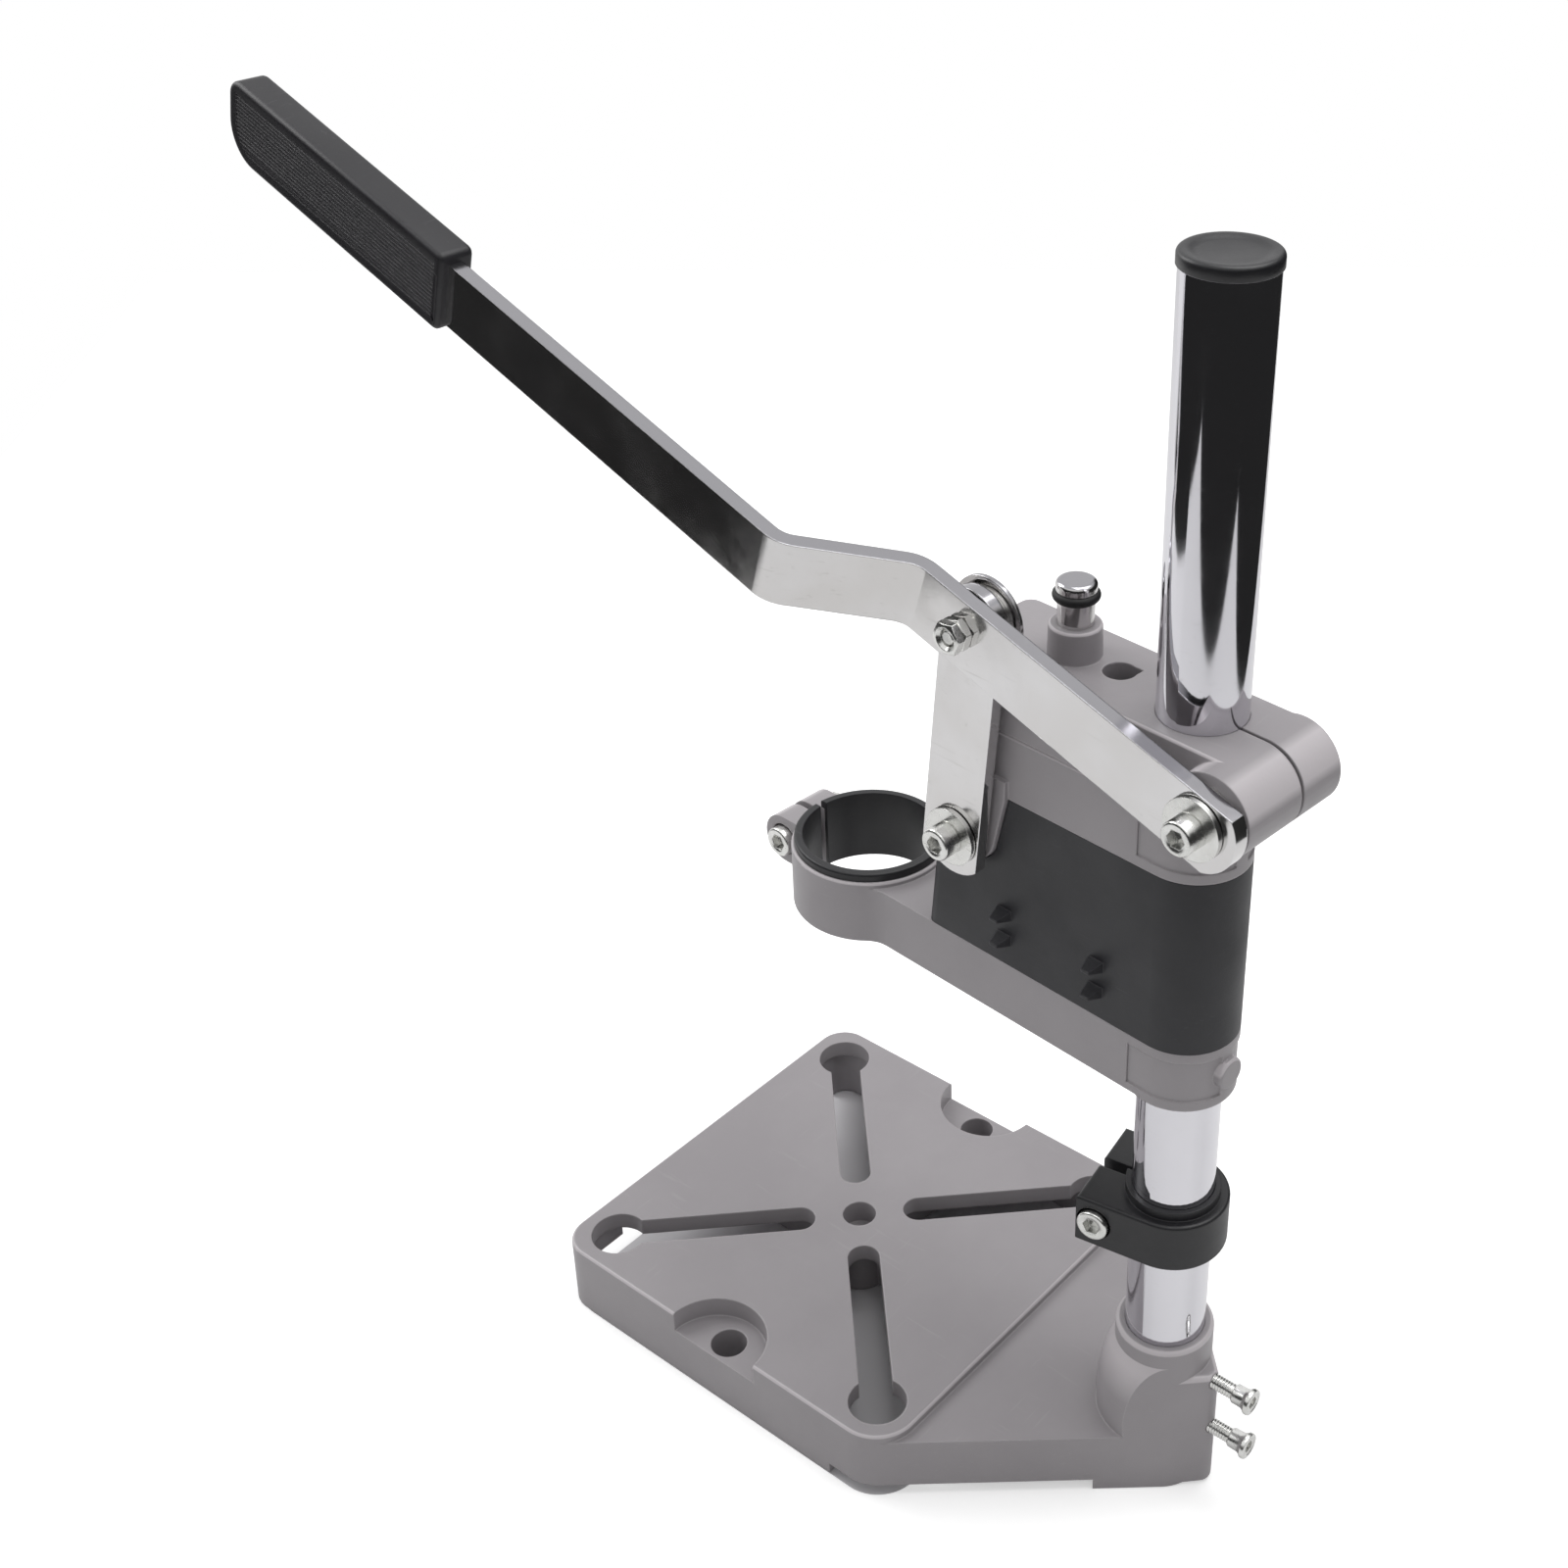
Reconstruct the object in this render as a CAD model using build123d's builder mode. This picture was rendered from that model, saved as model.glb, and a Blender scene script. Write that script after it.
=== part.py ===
import os
from math import atan2, cos, degrees, hypot, pi, radians, sin, sqrt, tan

from build123d import *

os.makedirs("parts", exist_ok=True)

# A bench stand for a hand drill. A cast base holds an upright column, a cast head is
# clamped on the column, and a carriage with the drill collar runs below the head.
# A hand lever pivots on the head and pulls the carriage down through a link.
# Millimetres, +Z up, origin on the column's axis in the bench plane, the work area
# towards -Y. The head's pieces are drawn with the collar straight towards -Y and the
# lever on +X, and are turned about the column by head_swing when they are written.

head_swing = -4.76
stop_swing = 9.56
running_gap = 0.05
moving_gap = 0.3
overrun = 1.0

# Column and its cap
column_radius = 12.5
column_wall = 2.0
column_foot = 4.0
column_top = 403.5
cap_radius = 13.0
cap_lip = 2.8
cap_dome = 1.2
cap_plug_depth = 12.0
cap_plug_wall = 1.6

# Base plate
base_side = 147.0
base_reach = 127.4
base_height = 26.1
base_corner_radius = 14.5
plate_front_radius = 10.5
base_skin = 6.5
base_wall = 4.5
base_edge_round = 1.2
tail_height = 23.1
foot_relief = 4.1
front_arch_spread = 3.0
front_arch_height = 12.0
front_arch_shoulder = 10.0
relief_start = 77.0
relief_end = 7.0
keyhole_radius = 9.44
slot_width = 10.9
slot_inner_reach = 20.85
centre_hole_radius = 5.8
centre_hole_depth = 9.0
recess_radius = 18.0
recess_floor = 18.3
bench_hole_radius = 6.0
bench_hole_edge = 7.4

# Socket on the base
socket_radius = 15.4
socket_top = 59.8
socket_edge_round = 1.8
socket_flare = 4.9
socket_flare_rise = 30.0
socket_flare_curve = 60.0
pad_reach = 20.0
pad_nose_radius = 4.0
pad_top_rise = 3.0
pad_edge_round = 2.0
socket_screw_high = 44.5
socket_screw_low = 24.9
socket_screw_radius = 2.5
socket_screw_neck = 6.4
socket_screw_collar = 3.3
socket_screw_collar_length = 5.4
socket_screw_head_radius = 4.25
socket_screw_head_length = 1.8

# Depth stop
stop_bottom = 96.4
stop_height = 17.3
stop_radius = 17.2
stop_lip_radius = 14.3
stop_lip_height = 3.0
stop_ear_reach = 23.8
stop_slit = 4.0
stop_screw_reach = 17.85
stop_screw_height_share = 0.52
stop_screw_sunk = 4.2

# Carriage
carriage_bottom = 158.0
arm_half_width = 16.4
arm_height = 20.5
cover_height = 58.3
cover_wall = 2.0
band_height = 20.9
cover_clearance = 16.5
front_lean = 6.3
front_corner_radius = 4.0
spine_wall = 3.0
spine_play = 0.8
spine_back = 18.0
cast_edge_round = 1.0
panel_depth = 0.5
panel_start = 7.0
panel_rim = 3.2
panel_rear_rib = 2.4
rear_stub_radius = 5.0
rear_stub_rise = 1.6

# Collar
collar_reach = 127.4
collar_bore_radius = 21.5
liner_wall = 1.2
collar_ring_radius = 25.2
collar_rise = 1.8
collar_blend = 9.0
collar_slit = 2.6
liner_flange_radius = 24.2
liner_flange_height = 2.8
liner_foot = 1.0
ear_reach = 157.5
ear_rise = 12.6
ear_radius = 8.5
ear_near_face = 10.0
ear_far_face = 11.0

# Metric cap screws, nuts and washers
bolt_radius = 3.0
bolt_head_radius = 5.0
bolt_head_length = 6.0
bolt_key_flats = 5.0
bolt_key_depth = 3.0
bolt_head_pocket_radius = 5.6
nut_flats = 10.0
nut_length = 5.0
bolt_end = 1.8
washer_radius = 9.0
washer_thickness = 1.6

# Head casting
head_height = 23.0
nose_reach = 20.93
nose_radius = 12.56
nose_near_face = 22.6
nose_far_face = 16.5
clamp_slit = 1.2
head_skin = 6.0
head_wall = 3.5
boss_reach = 44.3
boss_radius = 7.8
boss_rise = 10.0
boss_taper = 1.5
window_reach = 29.2
window_radius = 4.8
window_corner = 4.6

# Guide rod, its ring and the return spring
rod_radius = 4.0
rod_shank_radius = 5.2
rod_shank_rise = 7.0
rod_head_radius = 5.8
rod_head_rise = 6.0
rod_foot_rise = 6.0
ring_radius = 1.5
rod_nut_length = 5.0
spring_wire = 1.6
spring_mean_radius = 7.0
spring_turns = 9

# Lever and grip
lever_angle = 17.03
lever_thickness = 4.7
lever_width = 21.0
lever_drop = 0.9
bar_end_radius = 13.0
lever_inner_face = 24.1
lever_arm = 85.0
joggle_start = 106.0
joggle_length = 26.5
joggle_offset = 27.9
lever_length = 376.0
grip_overlap = 101.0
grip_tip = 10.5
grip_width = 26.6
grip_inner_face = 48.0
grip_outer_face = 59.8
grip_small_corner = 5.0
grip_large_corner = 14.0
grip_edge_round = 1.4

# Link and its pivots
link_thickness = 4.0
link_width = 21.0
link_shift = 0.9
link_slot_radius = 3.4
link_slot_play = 3.8
lower_pivot_setback = 18.7
lower_pivot_drop = 15.1
tongue_radius = 10.5
tongue_face = 18.0
tongue_front_setback = 6.4
tongue_rear_setback = 14.5
tongue_rise = 6.0
lower_bolt_depth = 10.0
fender_radius = 12.4
fender_thickness = 1.2
mid_bolt_head_radius = 6.5

# Clips for the hex key, on the cover's side
clip_width = 6.4
clip_height = 4.4
clip_rise = 5.0
clip_taper = 14.0
clip_spacing = 9.0
clip_middle_drop = 44.6
clip_setback = 32.2
clip_rear_reach = 19.5

# Further small sizes
fit_gap = 0.2
window_side = 1.1
bend_radius = 7.0
rod_nut_flats = 13.0
spring_seat_radius = 9.0
mid_spacer_thickness = 1.2
lower_spacer_radius = 6.0

# Shares of the piece that carries them
nut_corner_share = 0.1
head_chamfer_share = 0.12
liner_round_share = 0.3

# Heights that follow
arm_top = carriage_bottom + arm_height
ear_height = carriage_bottom + ear_rise
rod_lower_end = carriage_bottom + rod_foot_rise
band_bottom = arm_top + cover_height
band_top = band_bottom + band_height
head_bottom = band_top + moving_gap
head_top = head_bottom + head_height
nose_height = head_top - nose_radius
boss_top = head_top + boss_rise
collar_top = arm_top + collar_rise
liner_top = collar_top + liner_flange_height
column_hole_radius = column_radius + running_gap
stop_top = stop_bottom + stop_height
stop_screw_height = stop_bottom + stop_height * stop_screw_height_share
lower_pivot_height = band_bottom - lower_pivot_drop
spine_half_width = arm_half_width - cover_wall - spine_play

# Places that follow along Y and along the lever
corner_inset = base_side / 2 - base_corner_radius
front_corner_inset = base_side / 2 - plate_front_radius
bench_hole_offset = base_side / 2 - bench_hole_edge
front_reach = collar_reach - liner_flange_radius - cover_clearance
lower_pivot_reach = front_reach - lower_pivot_setback
tongue_front = front_reach - tongue_front_setback
tongue_rear = lower_pivot_reach - tongue_rear_setback
clip_front_reach = front_reach - clip_setback
grip_start = lever_length - grip_overlap
grip_end = lever_length + grip_tip

# Places that follow along X, from the lever outwards and inwards
lever_outer_face = lever_inner_face + lever_thickness
link_outer_face = lever_inner_face - moving_gap
link_inner_face = link_outer_face - link_thickness
fulcrum_bush_face = lever_inner_face - moving_gap
fulcrum_washer_face = lever_outer_face + moving_gap

# The lever's own axes: along it from the fulcrum, and across it upwards
lever_tilt = radians(lever_angle)
mid_pivot_y = nose_reach - lever_arm * cos(lever_tilt)
mid_pivot_z = nose_height + lever_arm * sin(lever_tilt)
link_run = mid_pivot_y + lower_pivot_reach
link_rise = mid_pivot_z - lower_pivot_height
link_length = hypot(link_run, link_rise)
link_tilt = degrees(atan2(link_run, link_rise))


def save(part, label, swing=0.0):
    placed = part.rotate(Axis.Z, swing) if swing else part
    placed.label = label
    export_step(placed, "parts/" + label + ".step")


def front_at(height):
    """Reach of the leaning front of the carriage, cover and head at a height."""
    return front_reach - (height - arm_top) * tan(radians(front_lean))


def leaning_body(half_width, inset, bottom, top, corner):
    """An upright body, round about the column, with the common leaning front."""
    reach = front_at(bottom) + overrun
    foot = Vector(0, inset - front_at(bottom), bottom)
    lean = radians(front_lean)
    front = Plane(origin=foot, x_dir=(1, 0, 0), z_dir=(0, -cos(lean), sin(lean)))
    with BuildPart() as body:
        with BuildSketch(Plane.XY.offset(bottom)):
            Circle(half_width)
            with Locations((0, -reach / 2)):
                Rectangle(2 * half_width, reach)
        extrude(amount=top - bottom)
        split(bisect_by=front, keep=Keep.BOTTOM)
        front_edges = body.faces().sort_by(Axis.Y)[0].edges()
        fillet(front_edges.filter_by(lambda edge: abs(edge.tangent_at(0).X) < 0.5), corner)
    return body.part


def side_plane(x):
    """A plane across X: its own X is the world's Y and its own Y the world's Z."""
    return Plane.YZ.offset(x)


def disc(x, y, z, radius, hole, thickness):
    """A flat washer on an axis along X, from x outwards."""
    with BuildPart() as washer:
        with BuildSketch(side_plane(x)):
            with Locations((y, z)):
                Circle(radius)
                Circle(hole, mode=Mode.SUBTRACT)
        extrude(amount=thickness)
    return washer.part


def hex_nut(x, y, z, length, hole, turn):
    """A hexagon nut on an axis along X, with turned corners."""
    with BuildPart() as nut:
        with BuildSketch(side_plane(x)):
            with Locations((y, z)):
                RegularPolygon(nut_flats / 2, 6, major_radius=False, rotation=turn)
        extrude(amount=length)
        with BuildSketch(side_plane(x)):
            with Locations((y, z)):
                Circle(nut_flats / 2 + nut_flats / 2 * nut_corner_share)
        extrude(amount=length, mode=Mode.INTERSECT)
        with BuildSketch(side_plane(x)):
            with Locations((y, z)):
                Circle(hole)
        extrude(amount=length, mode=Mode.SUBTRACT)
    return nut.part


def cap_screw(x, y, z, length):
    """A socket cap screw along X: its head starts at x and its shank runs inwards."""
    with BuildPart() as screw:
        with BuildSketch(side_plane(x - length)):
            with Locations((y, z)):
                Circle(bolt_radius)
        extrude(amount=length)
        with BuildSketch(side_plane(x)):
            with Locations((y, z)):
                Circle(bolt_head_radius)
        extrude(amount=bolt_head_length)
        rim = screw.edges().filter_by(GeomType.CIRCLE).sort_by(Axis.X)[-1]
        chamfer(rim, bolt_head_radius * head_chamfer_share)
        with BuildSketch(side_plane(x + bolt_head_length - bolt_key_depth)):
            with Locations((y, z)):
                RegularPolygon(bolt_key_flats / 2, 6, major_radius=False)
        extrude(amount=bolt_key_depth, mode=Mode.SUBTRACT)
    return screw.part


# Base plate: the plan is the hull of the four rounded corners and the socket
plate_middle = (0, -base_reach)
recess_x = base_side / 2


def base_plan(grow, with_tail=True):
    with BuildSketch() as plan:
        with Locations((0, corner_inset - base_reach)):
            with GridLocations(2 * corner_inset, 0, 2, 1):
                Circle(base_corner_radius + grow)
        with Locations((0, -front_corner_inset - base_reach)):
            with GridLocations(2 * front_corner_inset, 0, 2, 1):
                Circle(plate_front_radius + grow)
        if with_tail:
            Circle(socket_radius + grow)
        make_hull()
    return plan.sketch


def key_slots(grow):
    """The four keyholes and the slots that run from them towards the middle."""
    with BuildSketch() as slots:
        with Locations(plate_middle):
            with GridLocations(2 * corner_inset, 2 * corner_inset, 2, 2):
                Circle(keyhole_radius + grow)
            with PolarLocations((slot_inner_reach + sqrt(2) * corner_inset) / 2, 4, 45):
                run = sqrt(2) * corner_inset - slot_inner_reach
                SlotCenterToCenter(run, slot_width + 2 * grow)
    return slots.sketch


def side_recesses(grow):
    with BuildSketch() as recesses:
        with Locations((recess_x, -base_reach), (-recess_x, -base_reach)):
            Circle(recess_radius + grow)
    return recesses.sketch


def bench_holes(grow):
    with BuildSketch() as holes:
        with Locations(plate_middle):
            with GridLocations(2 * bench_hole_offset, 2 * bench_hole_offset, 2, 1):
                Circle(bench_hole_radius + grow)
    return holes.sketch


def base_hollow(height, square):
    """The space under the base: walls stay along its rim, its holes and two ribs."""
    with BuildPart() as hollow_space:
        with BuildSketch():
            if square:
                add(base_plan(-base_wall, with_tail=False))
            else:
                add(base_plan(-base_wall))
            add(side_recesses(base_wall), mode=Mode.SUBTRACT)
            with Locations(plate_middle):
                Circle(centre_hole_radius + base_wall, mode=Mode.SUBTRACT)
                Rectangle(base_wall, base_side, mode=Mode.SUBTRACT)
                Rectangle(base_side, base_wall, mode=Mode.SUBTRACT)
            Circle(socket_radius + base_wall, mode=Mode.SUBTRACT)
            with Locations((0, -base_reach / 4)):
                Rectangle(base_wall, base_reach / 2, mode=Mode.SUBTRACT)
        extrude(amount=height)
    return hollow_space


# The socket flares out towards the plate, as far as the plan of the base goes
with BuildPart() as socket_flare_ring:
    with BuildSketch(Plane.XZ):
        with BuildLine():
            inner = socket_radius - overrun
            low = tail_height - overrun
            outer = socket_radius + socket_flare
            flare_top = tail_height + socket_flare_rise
            Polyline((inner, flare_top), (inner, low), (outer, low), (outer, tail_height))
            RadiusArc((outer, tail_height), (socket_radius, flare_top), -socket_flare_curve)
            Line((socket_radius, flare_top), (inner, flare_top))
        make_face()
    revolve()
    with BuildSketch():
        add(base_plan(0))
    extrude(amount=socket_top, mode=Mode.INTERSECT)

# Ridge behind the socket, where its two screws enter
with BuildPart() as screw_pad:
    with BuildSketch():
        Circle(socket_radius)
        with Locations((0, pad_reach - pad_nose_radius)):
            Circle(pad_nose_radius)
        make_hull()
    extrude(amount=socket_screw_high + pad_top_rise)
    nose_edges = screw_pad.edges().filter_by(GeomType.CIRCLE).sort_by(Axis.Y)[-2:]
    fillet(nose_edges, pad_edge_round)

with BuildPart() as base_plate:
    with BuildSketch():
        add(base_plan(0))
    extrude(amount=tail_height)
    with BuildSketch(Plane.XY.offset(tail_height)):
        add(base_plan(0, with_tail=False))
    extrude(amount=base_height - tail_height)
    fillet(base_plate.faces().sort_by(Axis.Z)[-1].edges(), base_edge_round)
    with BuildSketch():
        Circle(socket_radius)
    extrude(amount=socket_top)
    fillet(base_plate.faces().sort_by(Axis.Z)[-1].edges(), socket_edge_round)
    add(socket_flare_ring.part)
    add(screw_pad.part)
    # Hollow underside: the tail's cells are lower than the square plate's
    add(base_hollow(tail_height - base_skin, False).part, mode=Mode.SUBTRACT)
    add(base_hollow(base_height - base_skin, True).part, mode=Mode.SUBTRACT)
    # Wide arch under the front edge, between the two front corners
    with BuildSketch(Plane.XZ.offset(base_reach + base_side / 2 - base_wall - overrun)):
        with Locations((0, front_arch_height / 2)):
            Rectangle(2 * (corner_inset + front_arch_spread), front_arch_height)
        with Locations((0, (base_height - base_skin) / 2)):
            Rectangle(2 * (corner_inset - front_arch_shoulder), base_height - base_skin)
    extrude(amount=base_wall + 2 * overrun, mode=Mode.SUBTRACT)
    with BuildSketch():
        add(key_slots(0))
    extrude(amount=base_height, mode=Mode.SUBTRACT)
    with BuildSketch(Plane.XY.offset(recess_floor)):
        add(side_recesses(0))
    extrude(amount=base_height, mode=Mode.SUBTRACT)
    with BuildSketch():
        add(bench_holes(0))
    extrude(amount=base_height, mode=Mode.SUBTRACT)
    with BuildSketch(Plane.XY.offset(base_height - centre_hole_depth)):
        with Locations(plate_middle):
            Circle(centre_hole_radius)
    extrude(amount=centre_hole_depth, mode=Mode.SUBTRACT)
    # The rim of the tail is lifted off the bench between its feet
    with BuildSketch():
        with Locations((0, -(relief_start + relief_end) / 2)):
            Rectangle(2 * base_side, relief_start - relief_end)
    extrude(amount=foot_relief, mode=Mode.SUBTRACT)
    with BuildSketch(Plane.XY.offset(column_foot)):
        Circle(column_hole_radius)
    extrude(amount=socket_top, mode=Mode.SUBTRACT)
    with BuildSketch(Plane.XZ):
        with Locations((0, socket_screw_high), (0, socket_screw_low)):
            Circle(socket_screw_radius)
    extrude(amount=-pad_reach - overrun, mode=Mode.SUBTRACT)
save(base_plate.part, "base_plate")

# The two screws behind the socket, with flared heads
collar_start = pad_reach + socket_screw_neck
head_start = collar_start + socket_screw_collar_length
screw_tip = column_radius + moving_gap
with BuildPart() as socket_screws:
    for height in (socket_screw_high, socket_screw_low):
        with BuildSketch(Plane.XZ.offset(-screw_tip)):
            with Locations((0, height)):
                Circle(socket_screw_radius)
        extrude(amount=screw_tip - collar_start)
        with BuildSketch(Plane.XZ.offset(-collar_start)):
            with Locations((0, height)):
                Circle(socket_screw_collar)
        extrude(amount=-socket_screw_collar_length)
        with BuildSketch(Plane.XZ.offset(-head_start)):
            with Locations((0, height)):
                Circle(socket_screw_head_radius)
        extrude(amount=-socket_screw_head_length)
        with BuildSketch(Plane.XZ.offset(-head_start)):
            with Locations((0, height)):
                RegularPolygon(socket_screw_collar / 2, 6, major_radius=False)
        extrude(amount=-socket_screw_head_length, mode=Mode.SUBTRACT)
save(socket_screws.part, "socket_screws")

# Column tube and its plastic cap
tube_bore_radius = column_radius - column_wall
with BuildPart() as column_tube:
    with BuildSketch(Plane.XY.offset(column_foot)):
        Circle(column_radius)
        Circle(tube_bore_radius, mode=Mode.SUBTRACT)
    extrude(amount=column_top - column_foot)
save(column_tube.part, "column_tube")

with BuildPart() as column_cap:
    with BuildSketch(Plane.XZ):
        with BuildLine():
            lip_top = column_top + cap_lip
            crown = lip_top + cap_dome
            Polyline((0, column_top), (cap_radius, column_top), (cap_radius, lip_top))
            RadiusArc((cap_radius, lip_top), (cap_radius - cap_dome, crown), -cap_dome)
            Polyline((cap_radius - cap_dome, crown), (0, crown), (0, column_top))
        make_face()
    revolve()
    with BuildSketch(Plane.XY.offset(column_top - cap_plug_depth)):
        Circle(tube_bore_radius)
        Circle(tube_bore_radius - cap_plug_wall, mode=Mode.SUBTRACT)
    extrude(amount=cap_plug_depth)
save(column_cap.part, "column_cap")

# Depth stop: a split ring with ears towards -Y and a cross screw
with BuildPart() as stop_ring:
    with BuildSketch(Plane.XY.offset(stop_bottom)):
        Circle(stop_radius)
        with Locations((0, -stop_ear_reach / 2)):
            Rectangle(2 * stop_radius, stop_ear_reach)
    extrude(amount=stop_height)
    fillet(stop_ring.edges().group_by(Axis.Z)[-1], cast_edge_round)
    fillet(stop_ring.edges().group_by(Axis.Z)[0], cast_edge_round)
    with BuildSketch(Plane.XY.offset(stop_top)):
        Circle(stop_lip_radius)
    extrude(amount=stop_lip_height)
    with BuildSketch(Plane.XY.offset(stop_bottom)):
        Circle(column_hole_radius)
        with Locations((0, -stop_ear_reach / 2 - overrun)):
            Rectangle(stop_slit, stop_ear_reach + overrun)
    extrude(amount=stop_height + stop_lip_height, mode=Mode.SUBTRACT)
    with BuildSketch(side_plane(-stop_radius)):
        with Locations((-stop_screw_reach, stop_screw_height)):
            Circle(bolt_radius)
    extrude(amount=2 * stop_radius, mode=Mode.SUBTRACT)
    with BuildSketch(side_plane(stop_radius - stop_screw_sunk)):
        with Locations((-stop_screw_reach, stop_screw_height)):
            Circle(bolt_head_pocket_radius)
    extrude(amount=stop_screw_sunk, mode=Mode.SUBTRACT)
save(stop_ring.part, "depth_stop_ring", stop_swing)

stop_head_x = stop_radius - stop_screw_sunk
stop_screw_length = stop_head_x + stop_radius + nut_length + bolt_end
stop_screw = cap_screw(stop_head_x, -stop_screw_reach, stop_screw_height, stop_screw_length)
save(stop_screw, "depth_stop_screw", stop_swing)
stop_nut = hex_nut(
    -stop_radius - nut_length, -stop_screw_reach, stop_screw_height, nut_length, bolt_radius, 0
)
save(stop_nut, "depth_stop_nut", stop_swing)

# Carriage casting: lower arm with the collar ring, spine, upper band and tongue
spine = leaning_body(
    spine_half_width, cover_wall + spine_play, arm_top, band_bottom, front_corner_radius
)
band = leaning_body(arm_half_width, 0, band_bottom, band_top, front_corner_radius)
hollow = leaning_body(
    spine_half_width - spine_wall,
    cover_wall + spine_play + spine_wall,
    carriage_bottom,
    band_bottom,
    front_corner_radius,
)

with BuildPart() as tongue:
    with BuildSketch(side_plane(spine_half_width)):
        with Locations((-lower_pivot_reach, lower_pivot_height)):
            Circle(tongue_radius)
        with Locations((-(tongue_front + tongue_rear) / 2, band_bottom + tongue_rise / 2)):
            Rectangle(tongue_front - tongue_rear, tongue_rise)
        make_hull()
    extrude(amount=tongue_face - spine_half_width)

# Shallow panels with a rim, on both sides of the two bearings round the column
with BuildPart() as bearing_panels:
    for foot, top in ((carriage_bottom, arm_top), (band_bottom, band_top)):
        with BuildSketch(Plane.XY.offset(foot + panel_rim)):
            Circle(arm_half_width + overrun)
            with Locations((0, -panel_start / 2)):
                Rectangle(2 * (arm_half_width + overrun), panel_start)
            Circle(arm_half_width - panel_depth, mode=Mode.SUBTRACT)
            with Locations((0, -panel_start / 2)):
                floor_width = 2 * (arm_half_width - panel_depth)
                Rectangle(floor_width, panel_start, mode=Mode.SUBTRACT)
            with Locations((0, arm_half_width)):
                Rectangle(2 * panel_rear_rib, arm_half_width, mode=Mode.SUBTRACT)
        extrude(amount=top - foot - 2 * panel_rim)

with BuildPart() as carriage_casting:
    with BuildSketch(Plane.XY.offset(carriage_bottom)) as arm_plan:
        Circle(arm_half_width)
        with Locations((0, -collar_reach / 2)):
            Rectangle(2 * arm_half_width, collar_reach)
        with Locations((0, -collar_reach)):
            Circle(collar_ring_radius)
        meeting = arm_plan.vertices().group_by(Axis.Y)[-2]
        fillet(meeting, collar_blend)
    extrude(amount=arm_height)
    fillet(carriage_casting.edges().group_by(Axis.Z)[0], cast_edge_round)
    # Collar ring and its two ears
    with BuildSketch(Plane.XY.offset(arm_top)):
        with Locations((0, -collar_reach)):
            Circle(collar_ring_radius)
    extrude(amount=collar_rise)
    fillet(carriage_casting.faces().sort_by(Axis.Z)[-1].edges(), cast_edge_round)
    with BuildSketch(side_plane(-ear_far_face)):
        with Locations((-ear_reach, ear_height)):
            Circle(ear_radius)
        with Locations((-(ear_reach + collar_reach) / 2, ear_height)):
            Rectangle(ear_reach - collar_reach, 2 * ear_radius)
    extrude(amount=ear_near_face + ear_far_face)
    with BuildSketch(Plane.XY.offset(carriage_bottom)):
        with Locations((0, -collar_reach)):
            Circle(collar_bore_radius + liner_wall)
        with Locations((0, -collar_reach - ear_reach / 2)):
            Rectangle(collar_slit, ear_reach)
    extrude(amount=collar_top - carriage_bottom + overrun, mode=Mode.SUBTRACT)
    with BuildSketch(side_plane(-ear_far_face)):
        with Locations((-ear_reach, ear_height)):
            Circle(bolt_radius)
    extrude(amount=ear_near_face + ear_far_face, mode=Mode.SUBTRACT)
    with BuildSketch(side_plane(ear_near_face - bolt_head_length / 2)):
        with Locations((-ear_reach, ear_height)):
            Circle(bolt_head_pocket_radius)
    extrude(amount=bolt_head_length / 2, mode=Mode.SUBTRACT)
    # Spine behind the cover, hollow from below for the rod and its spring
    add(spine)
    add(band)
    with BuildSketch(Plane.XY.offset(arm_top)):
        with Locations((0, -spine_back / 2 + column_radius)):
            Rectangle(4 * arm_half_width, spine_back + 2 * column_radius)
    extrude(amount=cover_height, mode=Mode.SUBTRACT)
    add(hollow, mode=Mode.SUBTRACT)
    with BuildSketch(Plane.XY.offset(carriage_bottom)):
        with Locations((0, -spine_back / 2)):
            Rectangle(2 * arm_half_width - 2 * spine_wall, spine_back)
        Circle(arm_half_width)
    extrude(amount=arm_height)
    fillet(carriage_casting.edges().group_by(Axis.Z)[-1], cast_edge_round)
    add(bearing_panels.part, mode=Mode.SUBTRACT)
    # Low round stub behind the lower bearing
    with BuildSketch(Plane.XZ):
        with Locations((0, carriage_bottom + arm_height / 2)):
            Circle(rear_stub_radius)
    extrude(amount=-arm_half_width - rear_stub_rise)
    stub_edge = carriage_casting.faces().sort_by(Axis.Y)[-1].edges()
    fillet(stub_edge, cast_edge_round)
    add(tongue.part)
    with BuildSketch(Plane.XY.offset(carriage_bottom)):
        Circle(column_hole_radius)
    extrude(amount=band_top - carriage_bottom, mode=Mode.SUBTRACT)
    with BuildSketch(Plane.XY.offset(band_bottom)):
        with Locations((0, -boss_reach)):
            Circle(rod_radius + moving_gap)
    extrude(amount=band_height, mode=Mode.SUBTRACT)
    with BuildSketch(side_plane(tongue_face - lower_bolt_depth)):
        with Locations((-lower_pivot_reach, lower_pivot_height)):
            Circle(bolt_radius)
    extrude(amount=lower_bolt_depth, mode=Mode.SUBTRACT)
save(carriage_casting.part, "carriage_casting", head_swing)

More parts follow.
